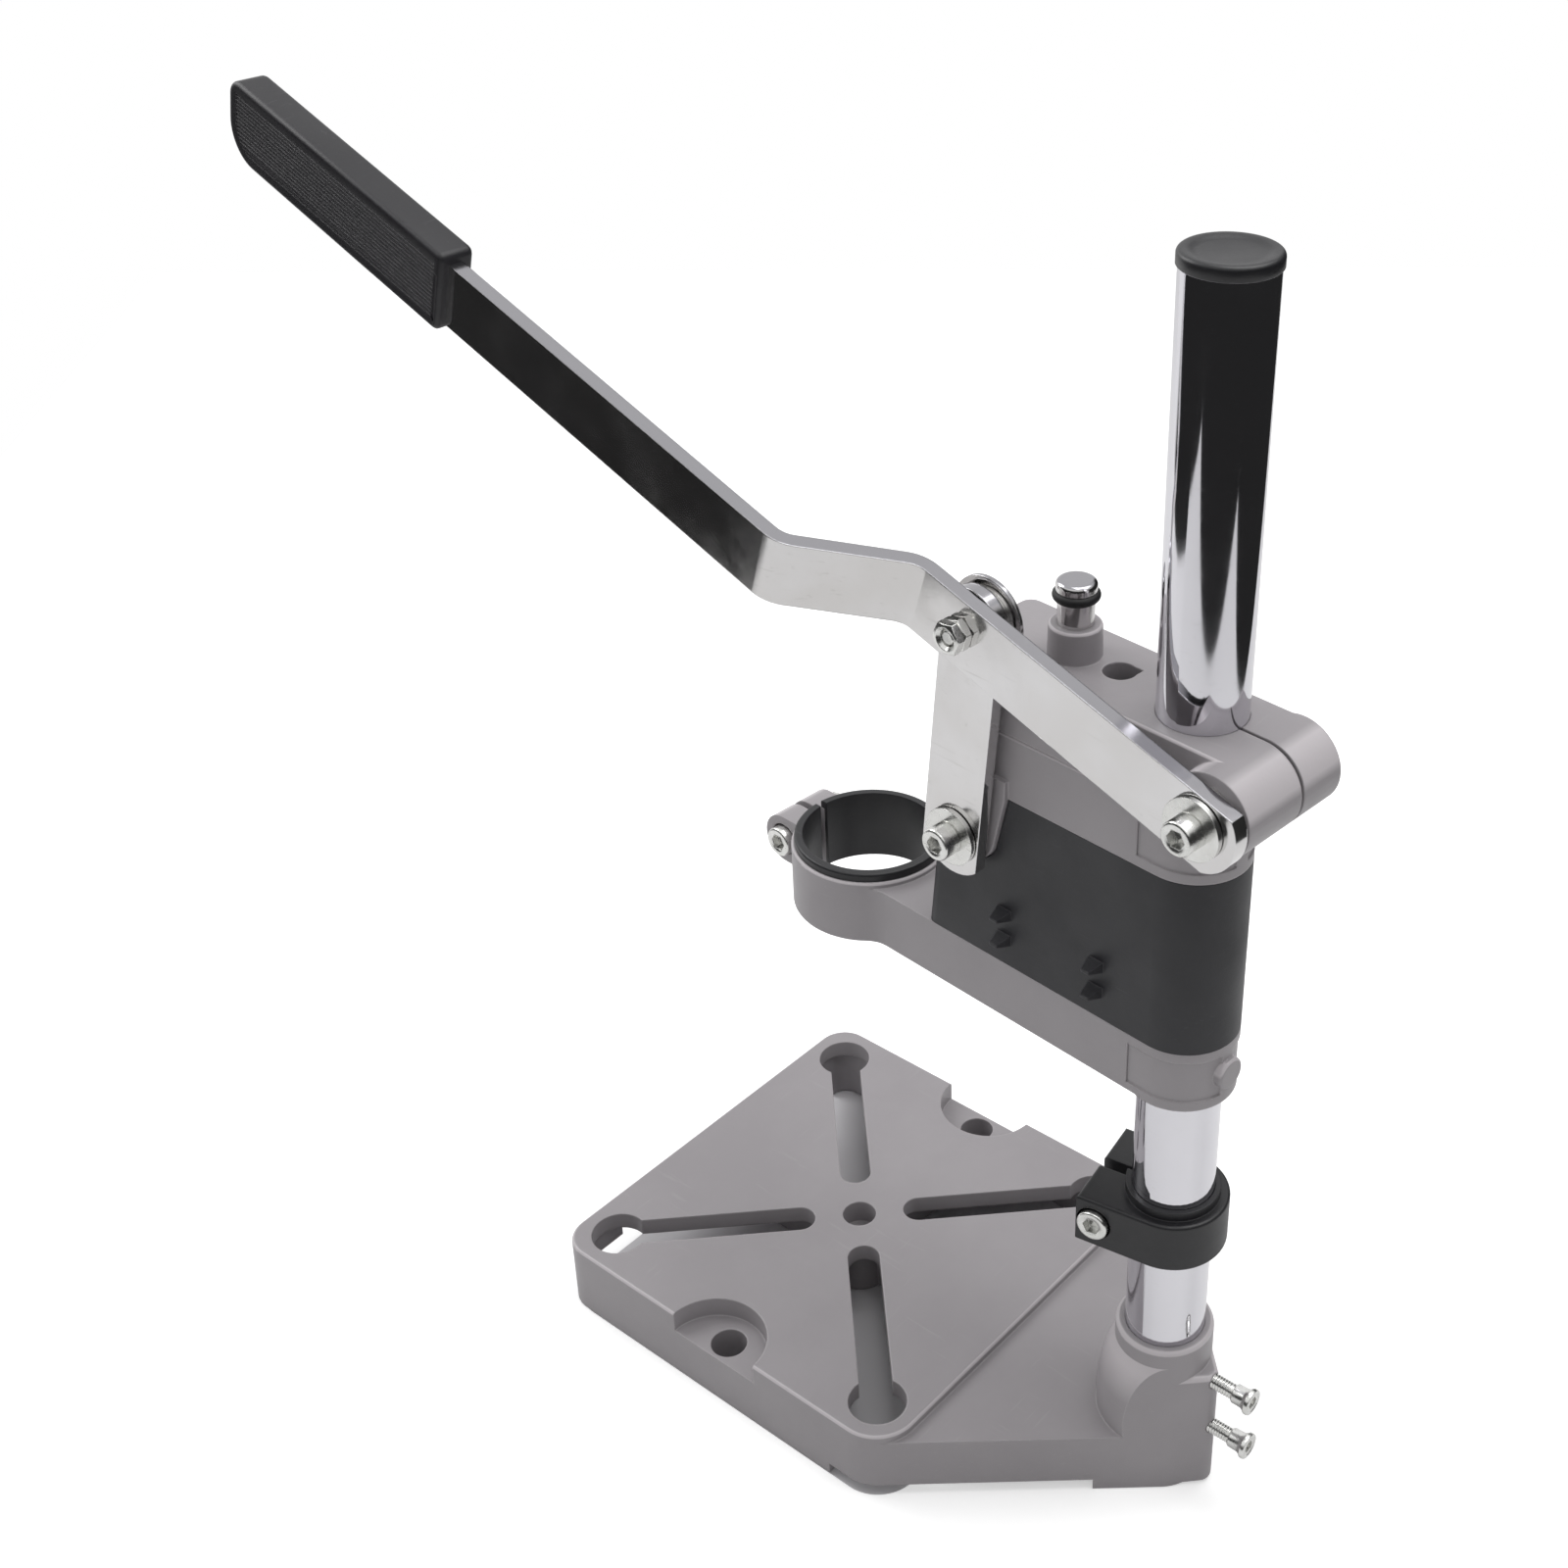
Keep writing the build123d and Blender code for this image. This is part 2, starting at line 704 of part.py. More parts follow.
# Plastic liner of the collar, split at the front
with BuildPart() as collar_liner:
    with BuildSketch(Plane.XY.offset(carriage_bottom + liner_foot)):
        with Locations((0, -collar_reach)):
            Circle(collar_bore_radius + liner_wall)
    extrude(amount=collar_top - carriage_bottom - liner_foot)
    with BuildSketch(Plane.XY.offset(collar_top)):
        with Locations((0, -collar_reach)):
            Circle(liner_flange_radius)
    extrude(amount=liner_flange_height)
    rim_edges = collar_liner.faces().sort_by(Axis.Z)[-1].edges()
    fillet(rim_edges, liner_flange_height * liner_round_share)
    with BuildSketch(Plane.XY.offset(carriage_bottom)):
        with Locations((0, -collar_reach)):
            Circle(collar_bore_radius)
        with Locations((0, -collar_reach - liner_flange_radius / 2)):
            Rectangle(collar_slit, 2 * liner_flange_radius)
    extrude(amount=liner_top - carriage_bottom, mode=Mode.SUBTRACT)
save(collar_liner.part, "collar_liner", head_swing)

# Plastic cover round the spine and the column, with clips for the hex key
cover_inside = leaning_body(
    arm_half_width - cover_wall, cover_wall, arm_top, band_bottom, front_corner_radius - cover_wall
)
clip_height_middle = band_bottom - clip_middle_drop
with BuildPart() as spring_cover:
    add(leaning_body(arm_half_width, 0, arm_top, band_bottom, front_corner_radius))
    add(cover_inside, mode=Mode.SUBTRACT)
    with BuildSketch(side_plane(spine_half_width)):
        with Locations((-lower_pivot_reach, lower_pivot_height)):
            Circle(tongue_radius + fit_gap)
        with Locations((-(tongue_front + tongue_rear) / 2, band_bottom + tongue_rise / 2)):
            Rectangle(tongue_front - tongue_rear + 2 * fit_gap, tongue_rise)
        make_hull()
    extrude(amount=tongue_face - spine_half_width, mode=Mode.SUBTRACT)
    for reach in (clip_front_reach, clip_rear_reach):
        for side in (-1, 1):
            with BuildSketch(side_plane(arm_half_width - cover_wall)):
                with Locations((-reach, clip_height_middle + side * clip_spacing / 2)):
                    Rectangle(clip_width, clip_height)
            extrude(amount=cover_wall + clip_rise, taper=clip_taper)
save(spring_cover.part, "spring_cover", head_swing)

# Clamp screw and nut of the collar
collar_head_x = ear_near_face - bolt_head_length / 2
collar_screw_length = collar_head_x + ear_far_face + nut_length + bolt_end
collar_screw = cap_screw(collar_head_x, -ear_reach, ear_height, collar_screw_length)
save(collar_screw, "collar_screw", head_swing)
collar_nut_x = -ear_far_face - nut_length
collar_nut = hex_nut(collar_nut_x, -ear_reach, ear_height, nut_length, bolt_radius, 0)
save(collar_nut, "collar_nut", head_swing)

# Head casting: it is split behind the column and pinched by the fulcrum bolt
with BuildPart() as head_hollow:
    add(
        leaning_body(
            arm_half_width - head_wall,
            head_wall,
            head_bottom,
            head_top - head_skin,
            front_corner_radius,
        )
    )
    with BuildSketch(Plane.XY.offset(head_bottom)):
        Rectangle(4 * arm_half_width, 2 * (column_radius + 2 * head_wall))
        with Locations((0, -boss_reach)):
            Circle(boss_radius)
    extrude(amount=head_height, mode=Mode.SUBTRACT)

with BuildPart() as head_casting:
    add(leaning_body(arm_half_width, 0, head_bottom, head_top, front_corner_radius))
    with BuildSketch(Plane.XY.offset(head_bottom)):
        with Locations((0, nose_reach / 2)):
            Rectangle(2 * arm_half_width, nose_reach)
    extrude(amount=head_height)
    top_rim = head_casting.faces().sort_by(Axis.Z)[-1].edges().sort_by(Axis.Y)[:-1]
    fillet(top_rim, cast_edge_round)
    with BuildSketch(side_plane(-nose_far_face)):
        with Locations((nose_reach, nose_height)):
            Circle(nose_radius)
    extrude(amount=nose_far_face + nose_near_face)
    with BuildSketch(Plane.XY.offset(head_top - overrun)):
        with Locations((0, -boss_reach)):
            Circle(boss_radius)
    extrude(amount=boss_rise + overrun, taper=boss_taper)
    fillet(head_casting.faces().sort_by(Axis.Z)[-1].edges(), cast_edge_round)
    add(head_hollow.part, mode=Mode.SUBTRACT)
    with BuildSketch(Plane.XY.offset(head_bottom)):
        Circle(column_hole_radius)
        with Locations((0, (column_radius + nose_reach + nose_radius) / 2)):
            Rectangle(clamp_slit, nose_reach + nose_radius - column_radius + 2 * overrun)
    extrude(amount=head_height + overrun, mode=Mode.SUBTRACT)
    # The nose hangs a little below the head: it is cut clear of the carriage's bearing
    with BuildSketch(Plane.XY.offset(head_top - 2 * nose_radius)):
        Circle(arm_half_width + moving_gap)
        with Locations((0, nose_reach)):
            Rectangle(clamp_slit, 2 * nose_radius)
    extrude(amount=2 * nose_radius - head_height, mode=Mode.SUBTRACT)
    with BuildSketch(Plane.XY.offset(head_bottom)):
        with Locations((0, -boss_reach)):
            Circle(rod_shank_radius)
    extrude(amount=head_height + boss_rise, mode=Mode.SUBTRACT)
    with BuildSketch(Plane.XY.offset(head_top - head_skin)):
        with Locations((-window_side, -window_reach)):
            Circle(window_radius)
        with Locations((-window_side - window_corner / 2, window_corner / 2 - window_reach)):
            Rectangle(window_corner, window_corner)
    extrude(amount=head_skin, mode=Mode.SUBTRACT)
    with BuildSketch(side_plane(-nose_far_face)):
        with Locations((nose_reach, nose_height)):
            Circle(bolt_radius)
    extrude(amount=nose_far_face + nose_near_face, mode=Mode.SUBTRACT)
save(head_casting.part, "head_casting", head_swing)

# Guide rod held in the head's boss, with a rubber ring under its head
ring_foot = boss_top + rod_shank_rise
ring_top = ring_foot + 2 * ring_radius
rod_neck_radius = rod_shank_radius - ring_radius
rod_crown = ring_foot + rod_head_rise
with BuildPart() as guide_rod:
    with BuildSketch(Plane.XZ.offset(boss_reach)):
        with BuildLine():
            Polyline(
                (0, rod_lower_end),
                (rod_radius, rod_lower_end),
                (rod_radius, head_bottom),
                (rod_shank_radius, head_bottom),
                (rod_shank_radius, ring_foot),
                (rod_neck_radius, ring_foot),
                (rod_neck_radius, ring_top),
                (rod_head_radius, ring_top),
                (rod_head_radius, rod_crown - ring_radius),
            )
            RadiusArc(
                (rod_head_radius, rod_crown - ring_radius),
                (rod_head_radius - ring_radius, rod_crown),
                -ring_radius,
            )
            Polyline((rod_head_radius - ring_radius, rod_crown), (0, rod_crown), (0, rod_lower_end))
        make_face()
    revolve(axis=Axis((0, -boss_reach, 0), (0, 0, 1)))
save(guide_rod.part, "guide_rod", head_swing)

with BuildPart() as guide_rod_ring:
    with BuildSketch(Plane.XZ.offset(boss_reach)):
        with Locations((rod_neck_radius + ring_radius, ring_foot + ring_radius)):
            Circle(ring_radius)
    revolve(axis=Axis((0, -boss_reach, 0), (0, 0, 1)))
save(guide_rod_ring.part, "guide_rod_ring", head_swing)

# Nut and spring seat at the rod's lower end
rod_nut_foot = rod_lower_end + bolt_end
seat_foot = rod_nut_foot + rod_nut_length
seat_top = seat_foot + washer_thickness
with BuildPart() as rod_nut:
    with BuildSketch(Plane.XY.offset(rod_nut_foot)):
        with Locations((0, -boss_reach)):
            RegularPolygon(rod_nut_flats / 2, 6, major_radius=False)
            Circle(rod_radius, mode=Mode.SUBTRACT)
    extrude(amount=rod_nut_length)
save(rod_nut.part, "rod_nut", head_swing)

with BuildPart() as spring_seat:
    with BuildSketch(Plane.XY.offset(seat_foot)):
        with Locations((0, -boss_reach)):
            Circle(spring_seat_radius)
            Circle(rod_radius, mode=Mode.SUBTRACT)
    extrude(amount=washer_thickness)
save(spring_seat.part, "spring_seat", head_swing)


# Return spring: one wire wound round the rod, each quarter turn drawn as two arcs
def coil_point(turn):
    angle = 2 * pi * turn
    low = seat_top + spring_wire / 2 + fit_gap
    high = band_bottom - spring_wire / 2 - fit_gap
    height = low + (high - low) * turn / spring_turns
    x = spring_mean_radius * cos(angle)
    return Vector(x, spring_mean_radius * sin(angle) - boss_reach, height)


def coil_direction(turn):
    angle = 2 * pi * turn
    pitch = (coil_point(spring_turns).Z - coil_point(0).Z) / spring_turns
    around = 2 * pi * spring_mean_radius
    return Vector(-around * sin(angle), around * cos(angle), pitch).normalized()


def arc_joint(start, start_way, end, end_way):
    """Where two arcs meet that leave start and reach end along the given ways."""
    chord = end - start
    ways = start_way + end_way
    square = 4 - ways.dot(ways)
    half = chord.dot(ways)
    reach = (sqrt(half * half + square * chord.dot(chord)) - half) / square
    return (start + start_way * reach + end - end_way * reach) * 0.5, reach


with BuildPart() as return_spring:
    with BuildLine() as coil:
        for quarter in range(4 * spring_turns):
            begin, finish = coil_point(quarter / 4), coil_point((quarter + 1) / 4)
            out, back = coil_direction(quarter / 4), coil_direction((quarter + 1) / 4)
            joint, reach = arc_joint(begin, out, finish, back)
            middle_way = (finish - back * reach) - (begin + out * reach)
            TangentArc(begin, joint, tangent=out)
            TangentArc(joint, finish, tangent=middle_way)
    with BuildSketch(Plane(origin=coil_point(0), z_dir=coil_direction(0))):
        Circle(spring_wire / 2)
    sweep()
save(return_spring.part, "return_spring", head_swing)

coil_steps = [coil_point(step / 16) for step in range(16 * spring_turns + 1)]
coil_gap = min(
    (coil_steps[first] - coil_steps[second]).length - spring_wire
    for first in range(len(coil_steps))
    for second in range(first + 8, len(coil_steps))
)
print("return spring: least gap between turns", round(coil_gap, 2), "mm")

# Lever: a flat bar, bent outwards between the mid pivot and the handle
along = Vector(0, -cos(lever_tilt), sin(lever_tilt))
across = Vector(0, sin(lever_tilt), cos(lever_tilt))
bar_edge = Plane(origin=(lever_inner_face, nose_reach, nose_height), x_dir=along, z_dir=across)
bar_face = Plane(origin=(lever_inner_face, nose_reach, nose_height), x_dir=along, z_dir=(-1, 0, 0))
bend = atan2(joggle_offset, joggle_length)
bend_shift = lever_thickness * tan(bend / 2)
joggle_end = joggle_start + joggle_length
outer_bend_radius = bend_radius + lever_thickness
outer_offset = joggle_offset + lever_thickness
pivot_hole_radius = bolt_radius + running_gap
with BuildPart() as lever_bar:
    with BuildSketch(bar_edge):
        with BuildLine():
            FilletPolyline(
                (-bar_end_radius, 0),
                (joggle_start, 0),
                (joggle_end, joggle_offset),
                (lever_length, joggle_offset),
                radius=[outer_bend_radius, bend_radius],
            )
            FilletPolyline(
                (-bar_end_radius, lever_thickness),
                (joggle_start - bend_shift, lever_thickness),
                (joggle_end - bend_shift, outer_offset),
                (lever_length, outer_offset),
                radius=[bend_radius, outer_bend_radius],
            )
            Line((-bar_end_radius, 0), (-bar_end_radius, lever_thickness))
            Line((lever_length, joggle_offset), (lever_length, outer_offset))
        make_face()
    extrude(amount=lever_width, both=True)
    # The strip has a round end about the fulcrum, wider than itself, so that corners stay
    with BuildSketch(bar_face):
        Circle(bar_end_radius)
        with Locations((lever_length / 2, 0)):
            Rectangle(lever_length, 2 * bar_end_radius)
        with Locations((0, -lever_drop)):
            Rectangle(2 * (lever_length + bar_end_radius), lever_width, mode=Mode.INTERSECT)
    extrude(amount=-outer_offset, mode=Mode.INTERSECT)
    with BuildSketch(bar_face):
        with Locations((0, 0), (lever_arm, 0)):
            Circle(pivot_hole_radius)
    extrude(amount=-lever_thickness, mode=Mode.SUBTRACT)
save(lever_bar.part, "lever_bar", head_swing)

grip_face = Plane(
    origin=(grip_outer_face, nose_reach, nose_height), x_dir=along, z_dir=(-1, 0, 0)
)
with BuildPart() as lever_grip:
    with BuildSketch(grip_face) as grip_outline:
        with Locations(((grip_start + grip_end) / 2, 0)):
            Rectangle(grip_end - grip_start, grip_width)
        tip_corners = grip_outline.vertices().group_by(Axis.X)[-1].sort_by(Axis.Y)
        fillet(tip_corners[0], grip_large_corner)
        fillet(grip_outline.vertices().sort_by(lambda spot: spot.X + spot.Y)[-1], grip_small_corner)
    extrude(amount=grip_outer_face - grip_inner_face)
    fillet(lever_grip.faces().sort_by(Axis.X)[-1].edges(), grip_edge_round)
    fillet(lever_grip.faces().sort_by(Axis.X)[0].edges(), grip_edge_round)
    add(lever_bar.part, mode=Mode.SUBTRACT)
save(lever_grip.part, "lever_grip", head_swing)

# Fulcrum: a bush against the nose, the lever, a washer, the pinch bolt and its nut
bush = disc(
    nose_near_face,
    nose_reach,
    nose_height,
    washer_radius,
    bolt_radius,
    fulcrum_bush_face - nose_near_face,
)
save(bush, "fulcrum_bush", head_swing)
fulcrum_washer = disc(
    fulcrum_washer_face, nose_reach, nose_height, washer_radius, bolt_radius, washer_thickness
)
save(fulcrum_washer, "fulcrum_washer", head_swing)
fulcrum_head_x = fulcrum_washer_face + washer_thickness
fulcrum_length = fulcrum_head_x + nose_far_face + nut_length + bolt_end
fulcrum_bolt = cap_screw(fulcrum_head_x, nose_reach, nose_height, fulcrum_length)
save(fulcrum_bolt, "fulcrum_bolt", head_swing)
fulcrum_nut = hex_nut(
    -nose_far_face - nut_length, nose_reach, nose_height, nut_length, bolt_radius, 0
)
save(fulcrum_nut, "fulcrum_nut", head_swing)

# Link between the lever and the tongue; its lower hole is a slot
link_middle = (
    (mid_pivot_y - lower_pivot_reach) / 2 - link_shift,
    (mid_pivot_z + lower_pivot_height) / 2,
)
with BuildPart() as link_bar:
    with BuildSketch(side_plane(link_inner_face)):
        with Locations((-lower_pivot_reach, lower_pivot_height)):
            Circle(bar_end_radius)
        with Locations(link_middle):
            Rectangle(4 * link_length, link_width, rotation=90 - link_tilt, mode=Mode.INTERSECT)
            SlotCenterToCenter(link_length, link_width, rotation=90 - link_tilt)
        with Locations((mid_pivot_y, mid_pivot_z)):
            Circle(pivot_hole_radius, mode=Mode.SUBTRACT)
        with Locations((-lower_pivot_reach, lower_pivot_height)):
            SlotCenterToCenter(
                link_slot_play, 2 * link_slot_radius, rotation=-link_tilt, mode=Mode.SUBTRACT
            )
    extrude(amount=link_thickness)
save(link_bar.part, "link_bar", head_swing)

# Middle pivot: low bolt head, wide washer, spacer, link, lever and nut
mid_spacer_face = link_inner_face - moving_gap - mid_spacer_thickness
fender_face = mid_spacer_face - fender_thickness
mid_head_face = arm_half_width + moving_gap
with BuildPart() as mid_bolt:
    with BuildSketch(side_plane(mid_head_face)):
        with Locations((mid_pivot_y, mid_pivot_z)):
            Circle(mid_bolt_head_radius)
    extrude(amount=fender_face - mid_head_face)
    with BuildSketch(side_plane(fender_face)):
        with Locations((mid_pivot_y, mid_pivot_z)):
            Circle(bolt_radius)
    extrude(amount=lever_outer_face + nut_length + bolt_end - fender_face)
save(mid_bolt.part, "mid_bolt", head_swing)
mid_fender = disc(
    fender_face, mid_pivot_y, mid_pivot_z, fender_radius, bolt_radius, fender_thickness
)
save(mid_fender, "mid_fender_washer", head_swing)
mid_spacer = disc(
    mid_spacer_face, mid_pivot_y, mid_pivot_z, washer_radius, bolt_radius, mid_spacer_thickness
)
save(mid_spacer, "mid_spacer", head_swing)
mid_nut = hex_nut(
    lever_outer_face, mid_pivot_y, mid_pivot_z, nut_length, bolt_radius, lever_angle
)
save(mid_nut, "mid_nut", head_swing)

# Lower pivot: spacer on the tongue, link, washer and screw
lower_spacer_thickness = link_inner_face - moving_gap - tongue_face
lower_spacer = disc(
    tongue_face,
    -lower_pivot_reach,
    lower_pivot_height,
    lower_spacer_radius,
    bolt_radius,
    lower_spacer_thickness,
)
save(lower_spacer, "lower_spacer", head_swing)
lower_washer_face = link_outer_face + moving_gap
lower_washer = disc(
    lower_washer_face,
    -lower_pivot_reach,
    lower_pivot_height,
    washer_radius,
    bolt_radius,
    washer_thickness,
)
save(lower_washer, "lower_washer", head_swing)
lower_head_x = lower_washer_face + washer_thickness
lower_length = lower_head_x - tongue_face + lower_bolt_depth
lower_bolt = cap_screw(lower_head_x, -lower_pivot_reach, lower_pivot_height, lower_length)
save(lower_bolt, "lower_bolt", head_swing)
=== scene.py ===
import math

import bmesh
import bpy
from mathutils import Matrix, Vector


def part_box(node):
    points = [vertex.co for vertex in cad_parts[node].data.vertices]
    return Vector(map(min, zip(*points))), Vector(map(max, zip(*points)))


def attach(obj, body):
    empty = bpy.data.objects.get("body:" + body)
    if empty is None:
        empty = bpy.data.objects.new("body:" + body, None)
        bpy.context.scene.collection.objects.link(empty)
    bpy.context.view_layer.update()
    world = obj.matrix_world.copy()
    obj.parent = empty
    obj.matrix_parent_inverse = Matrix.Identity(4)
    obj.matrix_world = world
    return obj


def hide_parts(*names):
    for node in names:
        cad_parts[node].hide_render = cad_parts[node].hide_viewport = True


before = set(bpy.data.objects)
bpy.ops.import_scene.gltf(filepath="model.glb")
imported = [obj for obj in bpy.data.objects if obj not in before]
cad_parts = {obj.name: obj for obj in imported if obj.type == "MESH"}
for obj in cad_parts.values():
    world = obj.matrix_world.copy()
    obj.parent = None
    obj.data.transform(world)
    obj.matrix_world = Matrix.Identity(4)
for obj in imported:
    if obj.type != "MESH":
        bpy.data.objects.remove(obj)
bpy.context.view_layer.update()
print("frame loaded with", len(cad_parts), "nodes")

mm = 0.001
headTurn = math.radians(-4.76)   # the head, carriage and lever stand a little round the column
stopTurn = math.radians(9.56)
leverTilt = math.radians(17.03)
closeEnough = 0.02 * mm
nearlyFlat = 0.99
threadCrest = (0.8, 1.2)   # where a thread's crest starts and ends, in half pitches


# Selecting, placing and joining

def clearSelection():
    if bpy.context.object and bpy.context.object.mode != "OBJECT":
        bpy.ops.object.mode_set(mode="OBJECT")
    bpy.ops.object.select_all(action="DESELECT")


def takePiece(piece):
    clearSelection()
    piece.select_set(True)
    bpy.context.view_layer.objects.active = piece


def settlePiece(piece, place=None):
    # The place goes into the mesh, so that the object itself stays at the origin
    takePiece(piece)
    if place is not None:
        piece.matrix_world = place @ piece.matrix_world
    bpy.ops.object.transform_apply(location=True, rotation=True, scale=True)


def spanOf(node, place):
    # Low and high corner of a CAD node, measured in the frame that place describes
    back = place.inverted()
    corners = [back @ vertex.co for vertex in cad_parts[node].data.vertices]
    low = Vector([min(corner[axis] for corner in corners) for axis in range(3)])
    high = Vector([max(corner[axis] for corner in corners) for axis in range(3)])
    return low, high


def pickFaces(piece, test):
    bpy.ops.mesh.select_mode(type="FACE")
    bpy.ops.mesh.select_all(action="DESELECT")
    shape = bmesh.from_edit_mesh(piece.data)
    for face in shape.faces:
        face.select_set(test(face.calc_center_median(), face.normal))
    bmesh.update_edit_mesh(piece.data)


def pickEdges(piece, test):
    bpy.ops.mesh.select_mode(type="EDGE")
    bpy.ops.mesh.select_all(action="DESELECT")
    shape = bmesh.from_edit_mesh(piece.data)
    for edge in shape.edges:
        edge.select_set(test(edge.verts[0].co, edge.verts[1].co))
    bmesh.update_edit_mesh(piece.data)


def smoothPiece(piece, angle=32):
    takePiece(piece)
    bpy.ops.object.shade_smooth_by_angle(angle=math.radians(angle))


def addBlock(name, low, high):
    clearSelection()
    bpy.ops.mesh.primitive_cube_add(size=1, location=(low + high) / 2, scale=high - low)
    block = bpy.context.object
    block.name = name
    settlePiece(block)
    return block


def turnProfile(name, points, steps=48):
    # A profile of (place along X, radius) points is drawn from one vertex and spun about X
    clearSelection()
    bpy.ops.mesh.primitive_plane_add(size=mm)
    piece = bpy.context.object
    piece.name = name
    bpy.ops.object.mode_set(mode="EDIT")
    bpy.ops.mesh.select_mode(type="VERT")
    bpy.ops.mesh.select_all(action="SELECT")
    bpy.ops.mesh.merge(type="CENTER")
    bpy.ops.transform.translate(value=(points[0][0], 0, points[0][1]))
    for here, there in zip(points, points[1:]):
        step = (there[0] - here[0], 0, there[1] - here[1])
        bpy.ops.mesh.extrude_vertices_move(TRANSFORM_OT_translate={"value": step})
    bpy.ops.mesh.select_all(action="SELECT")
    bpy.ops.mesh.spin(steps=steps, angle=2 * math.pi, center=(0, 0, 0), axis=(1, 0, 0))
    bpy.ops.mesh.select_all(action="SELECT")
    bpy.ops.mesh.remove_doubles(threshold=0.001 * mm)
    bpy.ops.mesh.normals_make_consistent(inside=False)
    bpy.ops.object.mode_set(mode="OBJECT")
    return piece


def cutWith(piece, cutter, operation="DIFFERENCE"):
    takePiece(piece)
    bpy.ops.object.modifier_add(type="BOOLEAN")
    cut = piece.modifiers[-1]
    cut.operation = operation
    cut.solver = "EXACT"
    cut.object = cutter
    bpy.ops.object.modifier_apply(modifier=cut.name)
    bpy.data.objects.remove(cutter)


def addHexBar(flats, start, end):
    clearSelection()
    bpy.ops.mesh.primitive_cylinder_add(
        vertices=6,
        radius=flats / math.sqrt(3),
        depth=end - start,
        location=((start + end) / 2, 0, 0),
        rotation=(0, math.pi / 2, 0),
    )
    bar = bpy.context.object
    settlePiece(bar)
    return bar


def threadPoints(start, end, radius, pitch, depth):
    # Crests and roots of a thread, seen as rings
    count = max(1, int((end - start) / pitch))
    points = []
    for turn in range(count):
        foot = start + (end - start) * turn / count
        half = (end - start) / count / 2
        points.append((foot, radius - depth))
        points.append((foot + half * threadCrest[0], radius))
        points.append((foot + half * threadCrest[1], radius))
    points.append((end, radius - depth))
    return points


def copyPiece(piece, name):
    takePiece(piece)
    bpy.ops.object.duplicate(linked=False)
    twin = bpy.context.object
    twin.name = name
    return twin


headPlace = Matrix.Rotation(headTurn, 4, "Z")
stopPlace = Matrix.Rotation(stopTurn, 4, "Z")
fulcrumLow, fulcrumHigh = spanOf("fulcrum_washer", headPlace)
fulcrum = (fulcrumLow + fulcrumHigh) / 2
fulcrum.x = 0
leverPlace = headPlace @ Matrix.Translation(fulcrum) @ Matrix.Rotation(-leverTilt, 4, "X")


# Shader groups that several finishes share

def startGroup(name, inputs, outputs):
    group = bpy.data.node_groups.new(name, "ShaderNodeTree")
    for label, value in inputs:
        socket = group.interface.new_socket(name=label, in_out="INPUT", socket_type="NodeSocketFloat")
        socket.default_value = value
    for label, kind in outputs:
        group.interface.new_socket(name=label, in_out="OUTPUT", socket_type=kind)
    entry = group.nodes.new("NodeGroupInput")
    leave = group.nodes.new("NodeGroupOutput")
    return group, entry, leave


def addNode(tree, kind, **settings):
    node = tree.nodes.new(kind)
    for setting, value in settings.items():
        setattr(node, setting, value)
    return node


def rangeNode(tree, source, fromLow, fromHigh, toLow, toHigh):
    node = addNode(tree, "ShaderNodeMapRange")
    node.inputs["From Min"].default_value = fromLow
    node.inputs["From Max"].default_value = fromHigh
    node.inputs["To Min"].default_value = toLow
    node.inputs["To Max"].default_value = toHigh
    tree.links.new(source, node.inputs["Value"])
    return node.outputs["Result"]


softEdgeValues = {"radius": 0.6 * mm, "samples": 6, "straight": 0.99, "bent": 0.86}


def makeSoftEdges(values):
    # The shading normal rounded over the edges, and a mask of the edges themselves
    group, entry, leave = startGroup(
        "softEdges",
        [("Radius", values["radius"])],
        [("Normal", "NodeSocketVector"), ("Edge", "NodeSocketFloat")],
    )
    bevel = addNode(group, "ShaderNodeBevel", samples=values["samples"])
    surface = addNode(group, "ShaderNodeNewGeometry")
    compare = addNode(group, "ShaderNodeVectorMath", operation="DOT_PRODUCT")
    group.links.new(entry.outputs["Radius"], bevel.inputs["Radius"])
    group.links.new(bevel.outputs["Normal"], compare.inputs[0])
    group.links.new(surface.outputs["Normal"], compare.inputs[1])
    edge = rangeNode(group, compare.outputs["Value"], values["straight"], values["bent"], 0, 1)
    group.links.new(bevel.outputs["Normal"], leave.inputs["Normal"])
    group.links.new(edge, leave.inputs["Edge"])
    return group


grainValues = {"scale": 1500, "unevenness": 0.5, "fineDetail": 3, "broadDetail": 1, "broadShare": 0.22}


